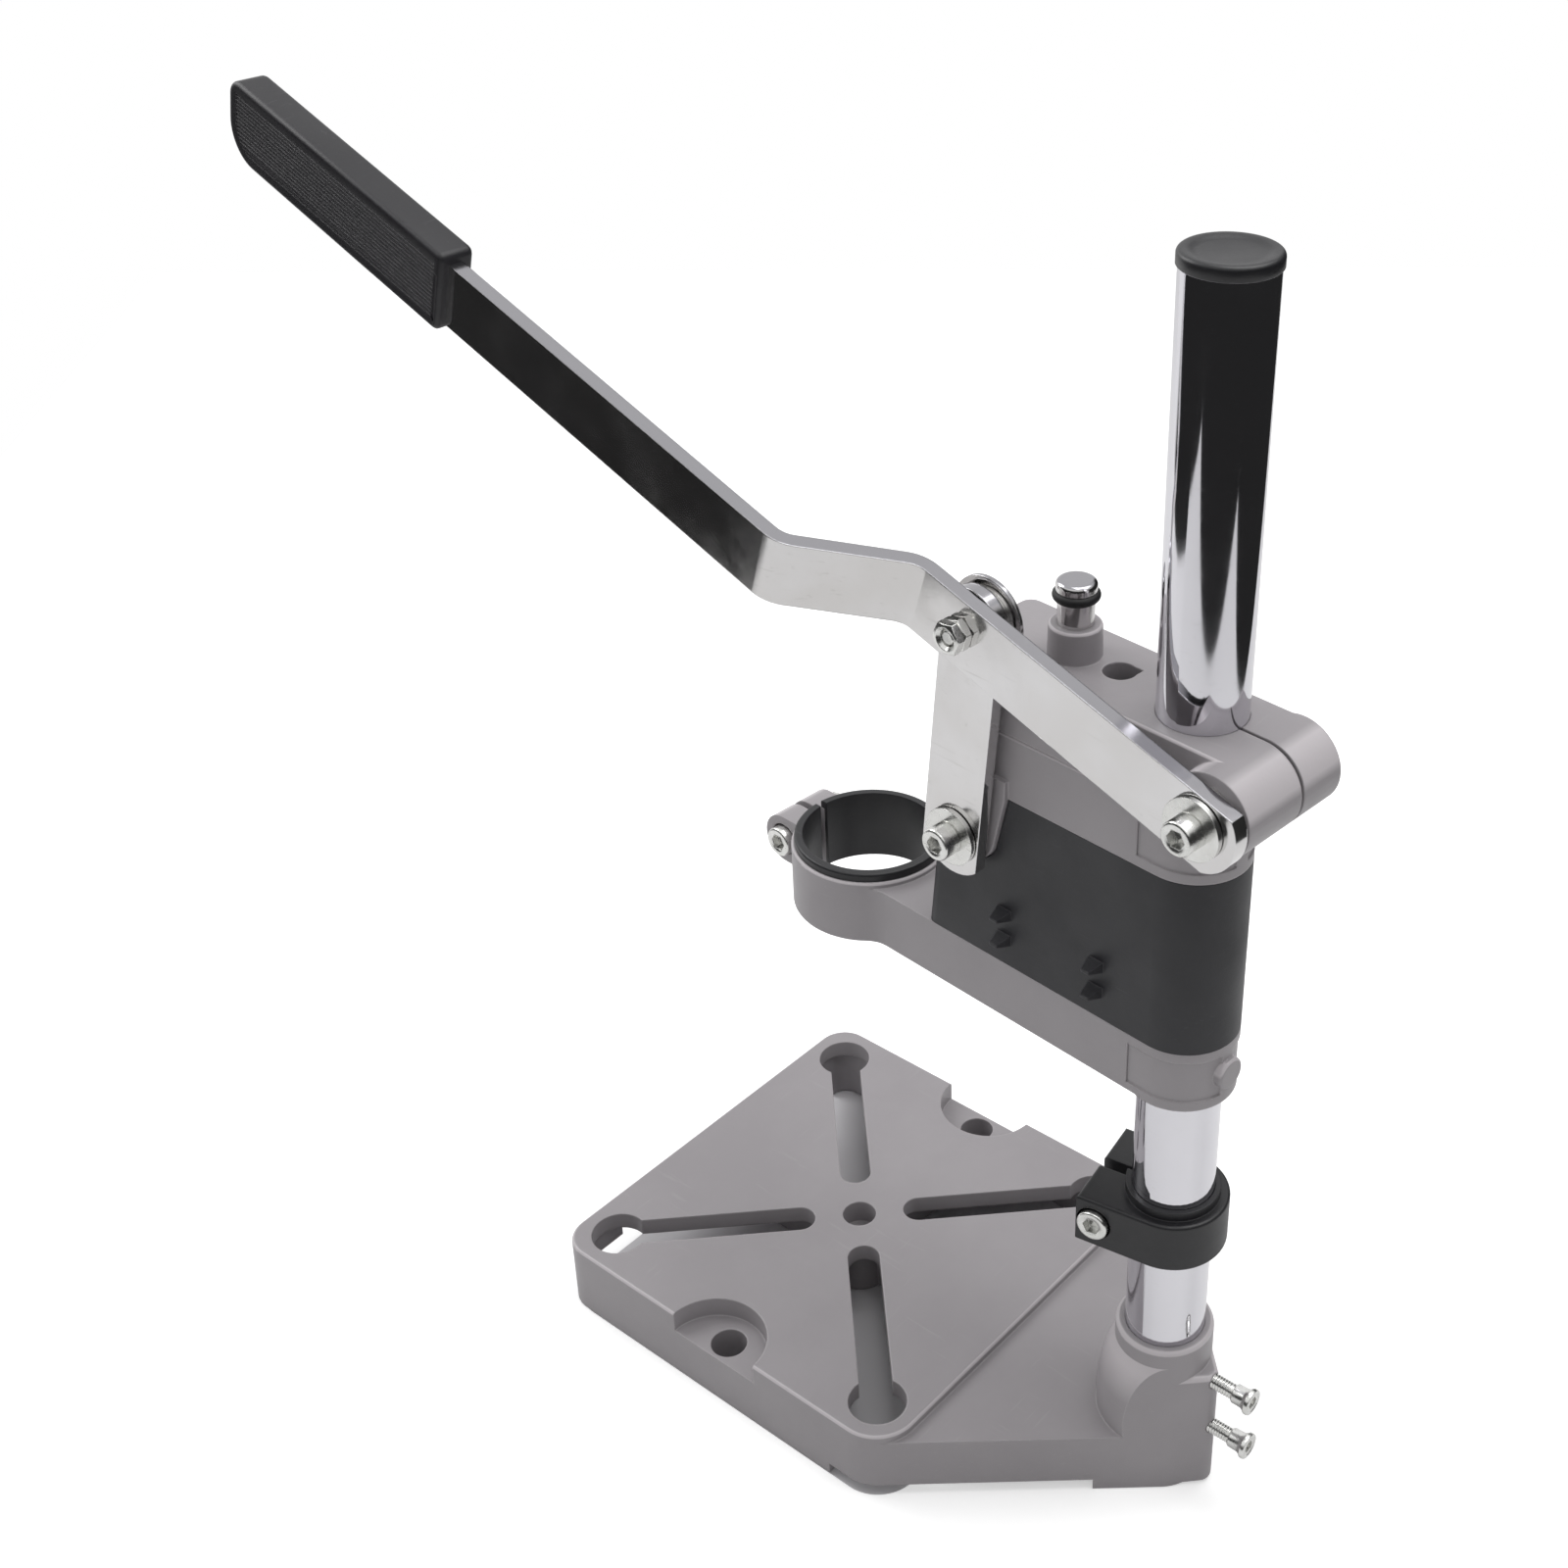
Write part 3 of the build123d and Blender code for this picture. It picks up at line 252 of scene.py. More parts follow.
def makeFineGrain(values):
    # Fine grain over a softer unevenness, for casts, paint and moulded plastic
    group, entry, leave = startGroup(
        "fineGrain",
        [("Scale", values["scale"]), ("Unevenness", values["unevenness"])],
        [("Height", "NodeSocketFloat")],
    )
    place = addNode(group, "ShaderNodeTexCoord")
    fine = addNode(group, "ShaderNodeTexNoise")
    fine.inputs["Detail"].default_value = values["fineDetail"]
    broad = addNode(group, "ShaderNodeTexNoise")
    broad.inputs["Detail"].default_value = values["broadDetail"]
    coarser = addNode(group, "ShaderNodeMath", operation="MULTIPLY")
    coarser.inputs[1].default_value = values["broadShare"]
    group.links.new(place.outputs["Object"], fine.inputs["Vector"])
    group.links.new(place.outputs["Object"], broad.inputs["Vector"])
    group.links.new(entry.outputs["Scale"], fine.inputs["Scale"])
    group.links.new(entry.outputs["Scale"], coarser.inputs[0])
    group.links.new(coarser.outputs[0], broad.inputs["Scale"])
    swell = addNode(group, "ShaderNodeMath", operation="MULTIPLY_ADD")
    group.links.new(broad.outputs["Fac"], swell.inputs[0])
    group.links.new(entry.outputs["Unevenness"], swell.inputs[1])
    group.links.new(fine.outputs["Fac"], swell.inputs[2])
    group.links.new(swell.outputs[0], leave.inputs["Height"])
    return group


cloudValues = {"scale": 25, "detail": 5, "roughness": 0.6, "darkest": 0.35, "lightest": 0.65}


def makeCloudiness(values):
    # Slow changes over the surface, between two values
    group, entry, leave = startGroup(
        "cloudiness", [("Scale", values["scale"]), ("Low", 0), ("High", 1)], [("Value", "NodeSocketFloat")]
    )
    place = addNode(group, "ShaderNodeTexCoord")
    cloud = addNode(group, "ShaderNodeTexNoise")
    cloud.inputs["Detail"].default_value = values["detail"]
    cloud.inputs["Roughness"].default_value = values["roughness"]
    group.links.new(place.outputs["Object"], cloud.inputs["Vector"])
    group.links.new(entry.outputs["Scale"], cloud.inputs["Scale"])
    spread = addNode(group, "ShaderNodeMapRange")
    spread.inputs["From Min"].default_value = values["darkest"]
    spread.inputs["From Max"].default_value = values["lightest"]
    group.links.new(cloud.outputs["Fac"], spread.inputs["Value"])
    group.links.new(entry.outputs["Low"], spread.inputs["To Min"])
    group.links.new(entry.outputs["High"], spread.inputs["To Max"])
    group.links.new(spread.outputs["Result"], leave.inputs["Value"])
    return group


markValues = {
    "scale": 60,
    "stretches": ((1, 14, 30), (12, 1, 26)),
    "lineDetail": 2,
    "lineRange": (0.66, 0.74),
    "patchScale": 30,
    "patchRange": (0.42, 0.62),
    "outsidePatch": 0.1,
}


def makeHandlingMarks(values):
    # Short hairline scratches in two directions, strongest in a few worn patches
    group, entry, leave = startGroup(
        "handlingMarks", [("Scale", values["scale"]), ("Amount", 1)], [("Mask", "NodeSocketFloat")]
    )
    place = addNode(group, "ShaderNodeTexCoord")
    joined = None
    for stretch in values["stretches"]:
        mapping = addNode(group, "ShaderNodeMapping")
        mapping.inputs["Scale"].default_value = stretch
        lines = addNode(group, "ShaderNodeTexNoise")
        lines.inputs["Detail"].default_value = values["lineDetail"]
        group.links.new(place.outputs["Object"], mapping.inputs["Vector"])
        group.links.new(mapping.outputs["Vector"], lines.inputs["Vector"])
        group.links.new(entry.outputs["Scale"], lines.inputs["Scale"])
        thin = rangeNode(group, lines.outputs["Fac"], *values["lineRange"], 0, 1)
        if joined is None:
            joined = thin
        else:
            both = addNode(group, "ShaderNodeMath", operation="MAXIMUM")
            group.links.new(joined, both.inputs[0])
            group.links.new(thin, both.inputs[1])
            joined = both.outputs[0]
    patch = addNode(group, "ShaderNodeTexNoise")
    patch.inputs["Scale"].default_value = values["patchScale"]
    group.links.new(place.outputs["Object"], patch.inputs["Vector"])
    blendShare = rangeNode(group, patch.outputs["Fac"], *values["patchRange"], values["outsidePatch"], 1)
    inPatch = addNode(group, "ShaderNodeMath", operation="MULTIPLY")
    group.links.new(joined, inPatch.inputs[0])
    group.links.new(blendShare, inPatch.inputs[1])
    scaled = addNode(group, "ShaderNodeMath", operation="MULTIPLY")
    group.links.new(inPatch.outputs[0], scaled.inputs[0])
    group.links.new(entry.outputs["Amount"], scaled.inputs[1])
    group.links.new(scaled.outputs[0], leave.inputs["Mask"])
    return group


def makeSlopeMask(name, rising, falling):
    # A mask of the surfaces whose normal rises between the given heights
    group, entry, leave = startGroup(name, [], [("Mask", "NodeSocketFloat")])
    geometry = addNode(group, "ShaderNodeNewGeometry")
    slope = addNode(group, "ShaderNodeSeparateXYZ")
    group.links.new(geometry.outputs["Normal"], slope.inputs[0])
    both = addNode(group, "ShaderNodeMath", operation="MULTIPLY")
    group.links.new(rangeNode(group, slope.outputs["Z"], *rising, 0, 1), both.inputs[0])
    group.links.new(rangeNode(group, slope.outputs["Z"], *falling, 1, 0), both.inputs[1])
    group.links.new(both.outputs[0], leave.inputs["Mask"])
    return group


softEdges = makeSoftEdges(softEdgeValues)
fineGrain = makeFineGrain(grainValues)
cloudiness = makeCloudiness(cloudValues)
handlingMarks = makeHandlingMarks(markValues)
# Painted highlight: this mask picks the castings' rounded rims and sloping faces by how their normal
# rises, for a lighter colour
paintedRimHighlight = makeSlopeMask("paintedRimHighlight", (0.15, 0.35), (0.9, 0.98))
# Painted reflection: this mask picks the upward faces of the polished steel for a darker colour
paintedTopReflection = makeSlopeMask("paintedTopReflection", (0.55, 0.75), (1.5, 2.0))
print("shader groups made")


# Finishes

def paintTone(red, green, blue, strength=1.0):
    # A screen colour of 0 to 255 as the linear colour that Blender works in
    tones = []
    for part in (red, green, blue):
        share = part / 255
        tones.append(strength * (share / 12.92 if share < 0.04045 else ((share + 0.055) / 1.055) ** 2.4))
    return (*tones, 1)


def placeGroup(tree, group, **values):
    node = addNode(tree, "ShaderNodeGroup", node_tree=group)
    for label, value in values.items():
        node.inputs[label].default_value = value
    return node


def mixColours(tree, share, first, second):
    # Sockets 6 and 7 of this node are its two colours, and its output 2 is the mixed one
    mix = addNode(tree, "ShaderNodeMix", data_type="RGBA")
    for socket, value in ((mix.inputs[6], first), (mix.inputs[7], second)):
        if isinstance(value, tuple):
            socket.default_value = value
        else:
            tree.links.new(value, socket)
    tree.links.new(share, mix.inputs[0])
    return mix.outputs[2]


sheenFineness = 2.3   # changes of the sheen are this much finer than changes of the tint


def makeFinish(name, look):
    material = bpy.data.materials.new(name)
    material.use_nodes = True
    tree = material.node_tree
    shader = tree.nodes["Principled BSDF"]
    shader.inputs["Metallic"].default_value = look["metallic"]
    shader.inputs["IOR"].default_value = look.get("ior", 1.5)

    edges = placeGroup(tree, softEdges, Radius=look["edgeRadius"])
    grain = placeGroup(tree, fineGrain, Scale=look["grainScale"], Unevenness=look["unevenness"])
    tint = placeGroup(tree, cloudiness, Scale=look["cloudScale"], Low=0, High=1)
    sheen = placeGroup(
        tree,
        cloudiness,
        Scale=look["cloudScale"] * sheenFineness,
        Low=look["roughLow"],
        High=look["roughHigh"],
    )
    marks = placeGroup(tree, handlingMarks, Scale=look["markScale"], Amount=look["markAmount"])

    body = mixColours(tree, tint.outputs["Value"], look["colour"], look["colourSpread"])
    marked = mixColours(tree, marks.outputs["Mask"], body, look["markColour"])
    # Edges take a lighter colour: partly wear, partly a painted highlight along the rounded edges
    blendShare = addNode(tree, "ShaderNodeMath", operation="MULTIPLY")
    blendShare.inputs[1].default_value = look["edgeWearAndHighlight"]
    tree.links.new(edges.outputs["Edge"], blendShare.inputs[0])
    edged = mixColours(tree, blendShare.outputs[0], marked, look["edgeColour"])
    # Painted light: faces picked by the slope of their normal take a lighter or darker colour in place of
    # a highlight or a reflection
    if "paintedLightMask" in look:
        slope = placeGroup(tree, look["paintedLightMask"])
        edged = mixColours(tree, slope.outputs["Mask"], edged, look["paintedLightColour"])
    tree.links.new(edged, shader.inputs["Base Color"])

    rougher = addNode(tree, "ShaderNodeMath", operation="MULTIPLY_ADD", use_clamp=True)
    rougher.inputs[1].default_value = look["markRoughness"]
    tree.links.new(marks.outputs["Mask"], rougher.inputs[0])
    tree.links.new(sheen.outputs["Value"], rougher.inputs[2])
    tree.links.new(rougher.outputs[0], shader.inputs["Roughness"])

    bump = addNode(tree, "ShaderNodeBump")
    bump.inputs["Distance"].default_value = look["grainDepth"]
    tree.links.new(grain.outputs["Height"], bump.inputs["Height"])
    tree.links.new(edges.outputs["Normal"], bump.inputs["Normal"])
    tree.links.new(bump.outputs["Normal"], shader.inputs["Normal"])
    return material


castLook = {
    "metallic": 0.0,
    "colour": paintTone(153, 149, 152),
    "colourSpread": paintTone(147, 143, 146),
    # the edge colour is partly wear and partly a painted highlight
    "edgeColour": paintTone(186, 181, 184),
    "edgeWearAndHighlight": 0.75,
    "edgeRadius": 0.9 * mm,
    "paintedLightMask": paintedRimHighlight,
    # painted highlight on the rounded rims and sloping faces
    "paintedLightColour": paintTone(190, 185, 188),
    "grainScale": 1300,
    "unevenness": 1.2,
    "grainDepth": 0.03 * mm,
    "cloudScale": 18,
    "roughLow": 0.36,
    "roughHigh": 0.46,
    "markScale": 45,
    "markAmount": 0.25,
    "markColour": paintTone(165, 162, 164),
    "markRoughness": 0.1,
}
chromeLook = {
    "metallic": 1.0,
    "colour": paintTone(226, 225, 230),
    "colourSpread": paintTone(220, 219, 224),
    "edgeColour": paintTone(236, 235, 238),
    "edgeWearAndHighlight": 0.6,
    "edgeRadius": 0.3 * mm,
    "grainScale": 500,
    "unevenness": 2.0,
    "grainDepth": 0.0008 * mm,
    "cloudScale": 14,
    "roughLow": 0.03,
    "roughHigh": 0.075,
    "markScale": 30,
    "markAmount": 0.35,
    "markColour": paintTone(205, 203, 206),
    "markRoughness": 0.12,
}
leverLook = {
    "metallic": 1.0,
    "colour": paintTone(222, 221, 222),
    "colourSpread": paintTone(212, 210, 209),
    "edgeColour": paintTone(238, 238, 240),
    "edgeWearAndHighlight": 0.7,
    "edgeRadius": 0.5 * mm,
    # painted dark reflection on the upward faces
    "paintedLightMask": paintedTopReflection,
    "paintedLightColour": paintTone(166, 165, 169),
    "grainScale": 260,
    "unevenness": 2.5,
    "grainDepth": 0.006 * mm,
    "cloudScale": 22,
    "roughLow": 0.08,
    "roughHigh": 0.17,
    "markScale": 34,
    "markAmount": 0.5,
    "markColour": paintTone(190, 188, 186),
    "markRoughness": 0.12,
}
zincLook = {
    "metallic": 1.0,
    "colour": paintTone(232, 232, 230),
    "colourSpread": paintTone(220, 220, 217),
    "edgeColour": paintTone(244, 244, 241),
    "edgeWearAndHighlight": 0.7,
    "edgeRadius": 0.35 * mm,
    "grainScale": 900,
    "unevenness": 1.5,
    "grainDepth": 0.008 * mm,
    "cloudScale": 90,
    "roughLow": 0.18,
    "roughHigh": 0.32,
    "markScale": 90,
    "markAmount": 0.5,
    "markColour": paintTone(170, 168, 160),
    "markRoughness": 0.15,
}
coverLook = {
    "metallic": 0.0,
    "colour": paintTone(42, 42, 46),
    "colourSpread": paintTone(38, 38, 42),
    "edgeColour": paintTone(70, 70, 74),
    "edgeWearAndHighlight": 0.5,
    "edgeRadius": 0.5 * mm,
    "grainScale": 2200,
    "unevenness": 0.6,
    "grainDepth": 0.025 * mm,
    "cloudScale": 16,
    "roughLow": 0.42,
    "roughHigh": 0.52,
    "markScale": 60,
    "markAmount": 0.2,
    "markColour": paintTone(85, 85, 88),
    "markRoughness": 0.08,
}
ringLook = dict(
    coverLook,
    colour=paintTone(31, 31, 34),
    colourSpread=paintTone(27, 27, 30),
    edgeColour=paintTone(52, 52, 56),
    roughLow=0.36,
    roughHigh=0.46,
)
gripLook = dict(
    coverLook,
    colour=paintTone(33, 32, 36),
    colourSpread=paintTone(29, 28, 32),
    edgeColour=paintTone(72, 70, 74),
    edgeWearAndHighlight=0.8,
    grainDepth=0.014 * mm,
    roughLow=0.38,
    roughHigh=0.48,
)
rubberLook = dict(
    ringLook,
    colour=paintTone(22, 22, 24),
    colourSpread=paintTone(18, 18, 20),
    roughLow=0.5,
    roughHigh=0.6,
)
springLook = dict(zincLook, colour=paintTone(150, 150, 152), colourSpread=paintTone(132, 132, 134))

finishes = {
    "cast_paint": makeFinish("satinCastPaint", castLook),
    "column_chrome": makeFinish("columnChrome", chromeLook),
    "lever_steel": makeFinish("polishedLeverSteel", leverLook),
    "zinc_steel": makeFinish("zincPlatedSteel", zincLook),
    "cover_plastic": makeFinish("charcoalCoverPlastic", coverLook),
    "ring_plastic": makeFinish("blackRingPlastic", ringLook),
    "grip_plastic": makeFinish("blackGripPlastic", gripLook),
    "rubber": makeFinish("blackRubber", rubberLook),
    "spring_steel": makeFinish("springWire", springLook),
}
print("finishes made:", len(finishes))


def dressNode(node, slotName):
    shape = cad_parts[node]
    shape.data.materials.clear()
    shape.data.materials.append(finishes[slotName])
    for polygon in shape.data.polygons:
        polygon.material_index = 0


def dressPiece(piece, slotName, body):
    piece.data.materials.clear()
    piece.data.materials.append(finishes[slotName])
    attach(piece, body)


nodeFinish = {
    "cast_paint": ["base_plate", "carriage_casting", "head_casting"],
    "column_chrome": ["column_tube"],
    "lever_steel": ["lever_bar", "link_bar", "guide_rod", "mid_fender_washer"],
    "zinc_steel": [
        "socket_screws", "depth_stop_screw", "depth_stop_nut", "collar_screw", "collar_nut",
        "fulcrum_bush", "fulcrum_washer", "fulcrum_bolt", "fulcrum_nut", "mid_bolt", "mid_spacer",
        "mid_nut", "lower_spacer", "lower_washer", "lower_bolt", "rod_nut", "spring_seat",
    ],
    "cover_plastic": ["spring_cover"],
    "ring_plastic": ["column_cap", "depth_stop_ring", "collar_liner"],
    "grip_plastic": ["lever_grip"],
    "rubber": ["guide_rod_ring"],
    "spring_steel": ["return_spring"],
}
for slotName, nodes in nodeFinish.items():
    for node in nodes:
        dressNode(node, slotName)
print("nodes dressed")


# Hand grip with fine lengthwise ribs inside a smooth border

gripShape = {
    "tipRadius": 13.0 * mm,
    "tipSteps": 12,
    "topRadius": 5.0 * mm,
    "topSteps": 7,
    "nearRadius": 2.4 * mm,
    "nearSteps": 3,
    "edgeRound": 1.7 * mm,
    "edgeSteps": 5,
    "border": 1.9 * mm,
    "endTrim": 0.3 * mm,
    "floorDrop": 0.25 * mm,
    "ribs": 14,
    "grooveShare": 0.5,
    "grooveDepth": 0.35 * mm,
    "smoothAngle": 40,
}


def modelGrip(shape):
    low, high = spanOf("lever_grip", leverPlace)
    low.y += shape["endTrim"]
    grip = addBlock("leverGrip", low, high)
    bpy.ops.object.mode_set(mode="EDIT")

    def onEdge(one, two, y, z):
        return all(abs(end.y - y) < closeEnough and abs(end.z - z) < closeEnough for end in (one, two))

    for y, z, radius, steps in (
        (low.y, low.z, shape["tipRadius"], shape["tipSteps"]),
        (low.y, high.z, shape["topRadius"], shape["topSteps"]),
        (high.y, low.z, shape["nearRadius"], shape["nearSteps"]),
        (high.y, high.z, shape["nearRadius"], shape["nearSteps"]),
    ):
        pickEdges(grip, lambda one, two: onEdge(one, two, y, z))
        bpy.ops.mesh.bevel(offset=radius, segments=steps, affect="EDGES")
    for x in (high.x, low.x):
        pickEdges(grip, lambda one, two: abs(one.x - x) < closeEnough and abs(two.x - x) < closeEnough)
        bpy.ops.mesh.bevel(offset=shape["edgeRound"], segments=shape["edgeSteps"], affect="EDGES")

    def isFlatAt(centre, normal, x, outwards):
        return abs(centre.x - x) < closeEnough and normal.x * outwards > nearlyFlat

    # Both faces get a sunk field, cut into strips of which every second one goes deeper
    for x, outwards in ((high.x, 1), (low.x, -1)):
        pickFaces(grip, lambda centre, normal: isFlatAt(centre, normal, x, outwards))
        bpy.ops.mesh.inset(thickness=shape["border"], depth=-shape["floorDrop"])
        floor = x - outwards * shape["floorDrop"]
        fieldTop = high.z - shape["edgeRound"] - shape["border"]
        fieldLow = low.z + shape["edgeRound"] + shape["border"]
        pitch = (fieldTop - fieldLow) / shape["ribs"]
        grooves = []
        for rib in range(shape["ribs"]):
            middle = fieldLow + (rib + 0.5) * pitch
            half = pitch * shape["grooveShare"] / 2
            grooves.append((middle - half, middle + half))
        for groove in grooves:
            for cut in groove:
                pickFaces(grip, lambda centre, normal: isFlatAt(centre, normal, floor, outwards))
                bpy.ops.mesh.bisect(plane_co=(0, 0, cut), plane_no=(0, 0, 1))
        pickFaces(
            grip,
            lambda centre, normal: isFlatAt(centre, normal, floor, outwards)
            and any(groove[0] < centre.z < groove[1] for groove in grooves),
        )
        deeper = (-outwards * shape["grooveDepth"], 0, 0)
        bpy.ops.mesh.extrude_region_move(TRANSFORM_OT_translate={"value": deeper})

    bpy.ops.object.mode_set(mode="OBJECT")
    settlePiece(grip, leverPlace)
    smoothPiece(grip, shape["smoothAngle"])
    return grip


leverGrip = modelGrip(gripShape)
dressPiece(leverGrip, "grip_plastic", "lever")
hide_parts("lever_grip")
print("grip modelled")


# Cap of the column: a dished top inside a round rim

capShape = {
    "rimRadius": 13.0 * mm,
    "footChamfer": 0.3 * mm,
    "rimRound": 1.3 * mm,
    "rimSteps": 8,
    "dishRadius": 11.0 * mm,
    "dishRun": 3.0 * mm,
    "dishDepth": 0.7 * mm,
    "dishSteps": 6,
    "turnSteps": 72,
    "smoothAngle": 50,
}


def modelCap(shape):
    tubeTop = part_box("column_tube")[1].z
    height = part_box("column_cap")[1].z - tubeTop
    chamfer = shape["footChamfer"]
    points = [(0, 0), (0, shape["rimRadius"] - chamfer), (chamfer, shape["rimRadius"])]
    bend = shape["rimRound"]
    for step in range(shape["rimSteps"] + 1):
        angle = math.radians(90 * step / shape["rimSteps"])
        points.append((
            height - bend + bend * math.sin(angle),
            shape["rimRadius"] - bend + bend * math.cos(angle),
        ))
    for step in range(1, shape["dishSteps"] + 1):
        share = step / shape["dishSteps"]
        fall = shape["dishDepth"] * (1 - math.cos(math.pi * share)) / 2
        points.append((height - fall, shape["dishRadius"] - shape["dishRun"] * share))
    points.append((height - shape["dishDepth"], 0))
    cap = turnProfile("columnCap", points, shape["turnSteps"])
    upright = Matrix.Translation((0, 0, tubeTop)) @ Matrix.Rotation(-math.pi / 2, 4, "Y")
    settlePiece(cap, upright)
    smoothPiece(cap, shape["smoothAngle"])
    dressPiece(cap, "ring_plastic", "column")
    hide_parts("column_cap")


modelCap(capShape)
print("cap modelled")


# Screws with a hexagon socket, a rounded head and a threaded end

screwShape = {
    "headRadius": 5.0 * mm,
    "headLength": 6.0 * mm,
    "headRound": 0.7 * mm,
    "roundSteps": ((1, 0), (0.62, 0.08), (0.29, 0.29), (0.08, 0.62), (0, 1)),
    "headFootChamfer": 0.25 * mm,
    "shankRadius": 3.0 * mm,
    "shankRelief": 0.05 * mm,
    "tipChamfer": 0.7 * mm,
    "threadStart": 0.6 * mm,
    "threadRunOut": 0.4 * mm,
    "keyFlats": 5.0 * mm,
    "keyDepth": 3.0 * mm,
    "keyRimShare": 0.6,
    "keyRimOut": 0.2 * mm,
    "keyRimIn": 0.1 * mm,
    "keyRimDepth": 0.2 * mm,
    "pitch": 1.0 * mm,
    "threadDepth": 0.35 * mm,
    "threadLength": 14.0 * mm,
    "longestThreadShare": 0.8,
    "smoothAngle": 35,
}


def modelCapScrew(name, node, place, body, shape):
    low, high = spanOf(node, place)
    seat = high.x - shape["headLength"]
    length = seat - low.x
    threaded = min(shape["threadLength"], length * shape["longestThreadShare"])
    tip = -length
    headEnd = shape["headLength"]
    headRadius = shape["headRadius"]
    shank = shape["shankRadius"] - shape["shankRelief"]
    points = [(tip, 0), (tip, shape["shankRadius"] - shape["tipChamfer"])]
    points += threadPoints(
        tip + shape["threadStart"],
        tip + threaded,
        shape["shankRadius"],
        shape["pitch"],
        shape["threadDepth"],
    )
    points += [
        (tip + threaded + shape["threadRunOut"], shank),
        (0, shank),
        (0, headRadius - shape["headFootChamfer"]),
        (shape["headFootChamfer"], headRadius),
    ]
    for back, inwards in shape["roundSteps"]:
        points.append((headEnd - shape["headRound"] * back, headRadius - shape["headRound"] * inwards))
    keyRim = shape["keyFlats"] * shape["keyRimShare"]
    points += [
        (headEnd, keyRim + shape["keyRimOut"]),
        (headEnd - shape["keyRimDepth"], keyRim - shape["keyRimIn"]),
        (headEnd - shape["keyRimDepth"], 0),
    ]
    screw = turnProfile(name, points)
    cutWith(screw, addHexBar(shape["keyFlats"], headEnd - shape["keyDepth"], headEnd + mm))
    middle = (low + high) / 2
    settlePiece(screw, place @ Matrix.Translation((seat, middle.y, middle.z)))
    smoothPiece(screw, shape["smoothAngle"])
    dressPiece(screw, "zinc_steel", body)
    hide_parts(node)


for name, node, place, body in (
    ("fulcrumBolt", "fulcrum_bolt", headPlace, "head"),
    ("lowerPivotScrew", "lower_bolt", headPlace, "carriage"),
    ("collarScrew", "collar_screw", headPlace, "carriage"),
    ("depthStopScrew", "depth_stop_screw", stopPlace, "stop"),
):
    modelCapScrew(name, node, place, body, screwShape)
print("cap screws modelled")


# Hexagon nuts with turned corners on both ends

nutShape = {
    "flats": 10.0 * mm,
    "length": 5.0 * mm,
    "bore": 3.02 * mm,
    "mouth": 3.5 * mm,
    "turned": 0.9 * mm,
    "faceShare": 0.95,
    "cornerRoom": 0.1 * mm,
    "outlineSteps": 64,
    "boreSteps": 48,
    "smoothAngle": 35,
}
thinNutShape = dict(
    nutShape, flats=8.8 * mm, length=2.9 * mm, bore=2.52 * mm, mouth=3.4 * mm, turned=0.6 * mm
)


def modelNut(shape):
    nut = addHexBar(shape["flats"], 0, shape["length"])
    nut.name = "hexNut"
    corner = shape["flats"] / math.sqrt(3) + shape["cornerRoom"]
    face = shape["flats"] / 2 * shape["faceShare"]
    turned = shape["turned"]
    length = shape["length"]
    outline = [(0, 0), (0, face), (turned, corner), (length - turned, corner), (length, face), (length, 0)]
    cutWith(nut, turnProfile("nutOutline", outline, shape["outlineSteps"]), "INTERSECT")
    lip = shape["mouth"] - shape["bore"]
    bore = [
        (-mm, 0),
        (-mm, shape["mouth"]),
        (0, shape["mouth"]),
        (lip, shape["bore"]),
        (length - lip, shape["bore"]),
        (length, shape["mouth"]),
        (length + mm, shape["mouth"]),
        (length + mm, 0),
    ]
    cutWith(nut, turnProfile("nutBore", bore, shape["boreSteps"]))
    smoothPiece(nut, shape["smoothAngle"])
    return nut


plainNut = modelNut(nutShape)
for name, node, place, body in (
    ("fulcrumNut", "fulcrum_nut", headPlace, "head"),
    ("collarNut", "collar_nut", headPlace, "carriage"),
    ("depthStopNut", "depth_stop_nut", stopPlace, "stop"),
):
    low, high = spanOf(node, place)
    middle = (low + high) / 2
    nut = copyPiece(plainNut, name)
    settlePiece(nut, place @ Matrix.Translation((low.x, middle.y, middle.z)))
    dressPiece(nut, "zinc_steel", body)
    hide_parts(node)
bpy.data.objects.remove(plainNut)
print("nuts modelled")


# Middle pivot: a domed head behind the lever and two thin nuts locked against each other

middleBoltShape = {
    "headRadius": 6.2 * mm,
    "headRim": 0.15 * mm,
    "domeSteps": 10,
    "shankRadius": 2.5 * mm,
    "pitch": 0.8 * mm,
    "threadDepth": 0.25 * mm,
    "threadLength": 9.0 * mm,
    "endSetback": 0.9 * mm,
    "endPlain": 0.4 * mm,
    "endChamfer": 0.7 * mm,
    "nutTwist": math.radians(14),
    "lockNutTwist": math.radians(6),
    "turnSteps": 64,
    "smoothAngle": 35,
}


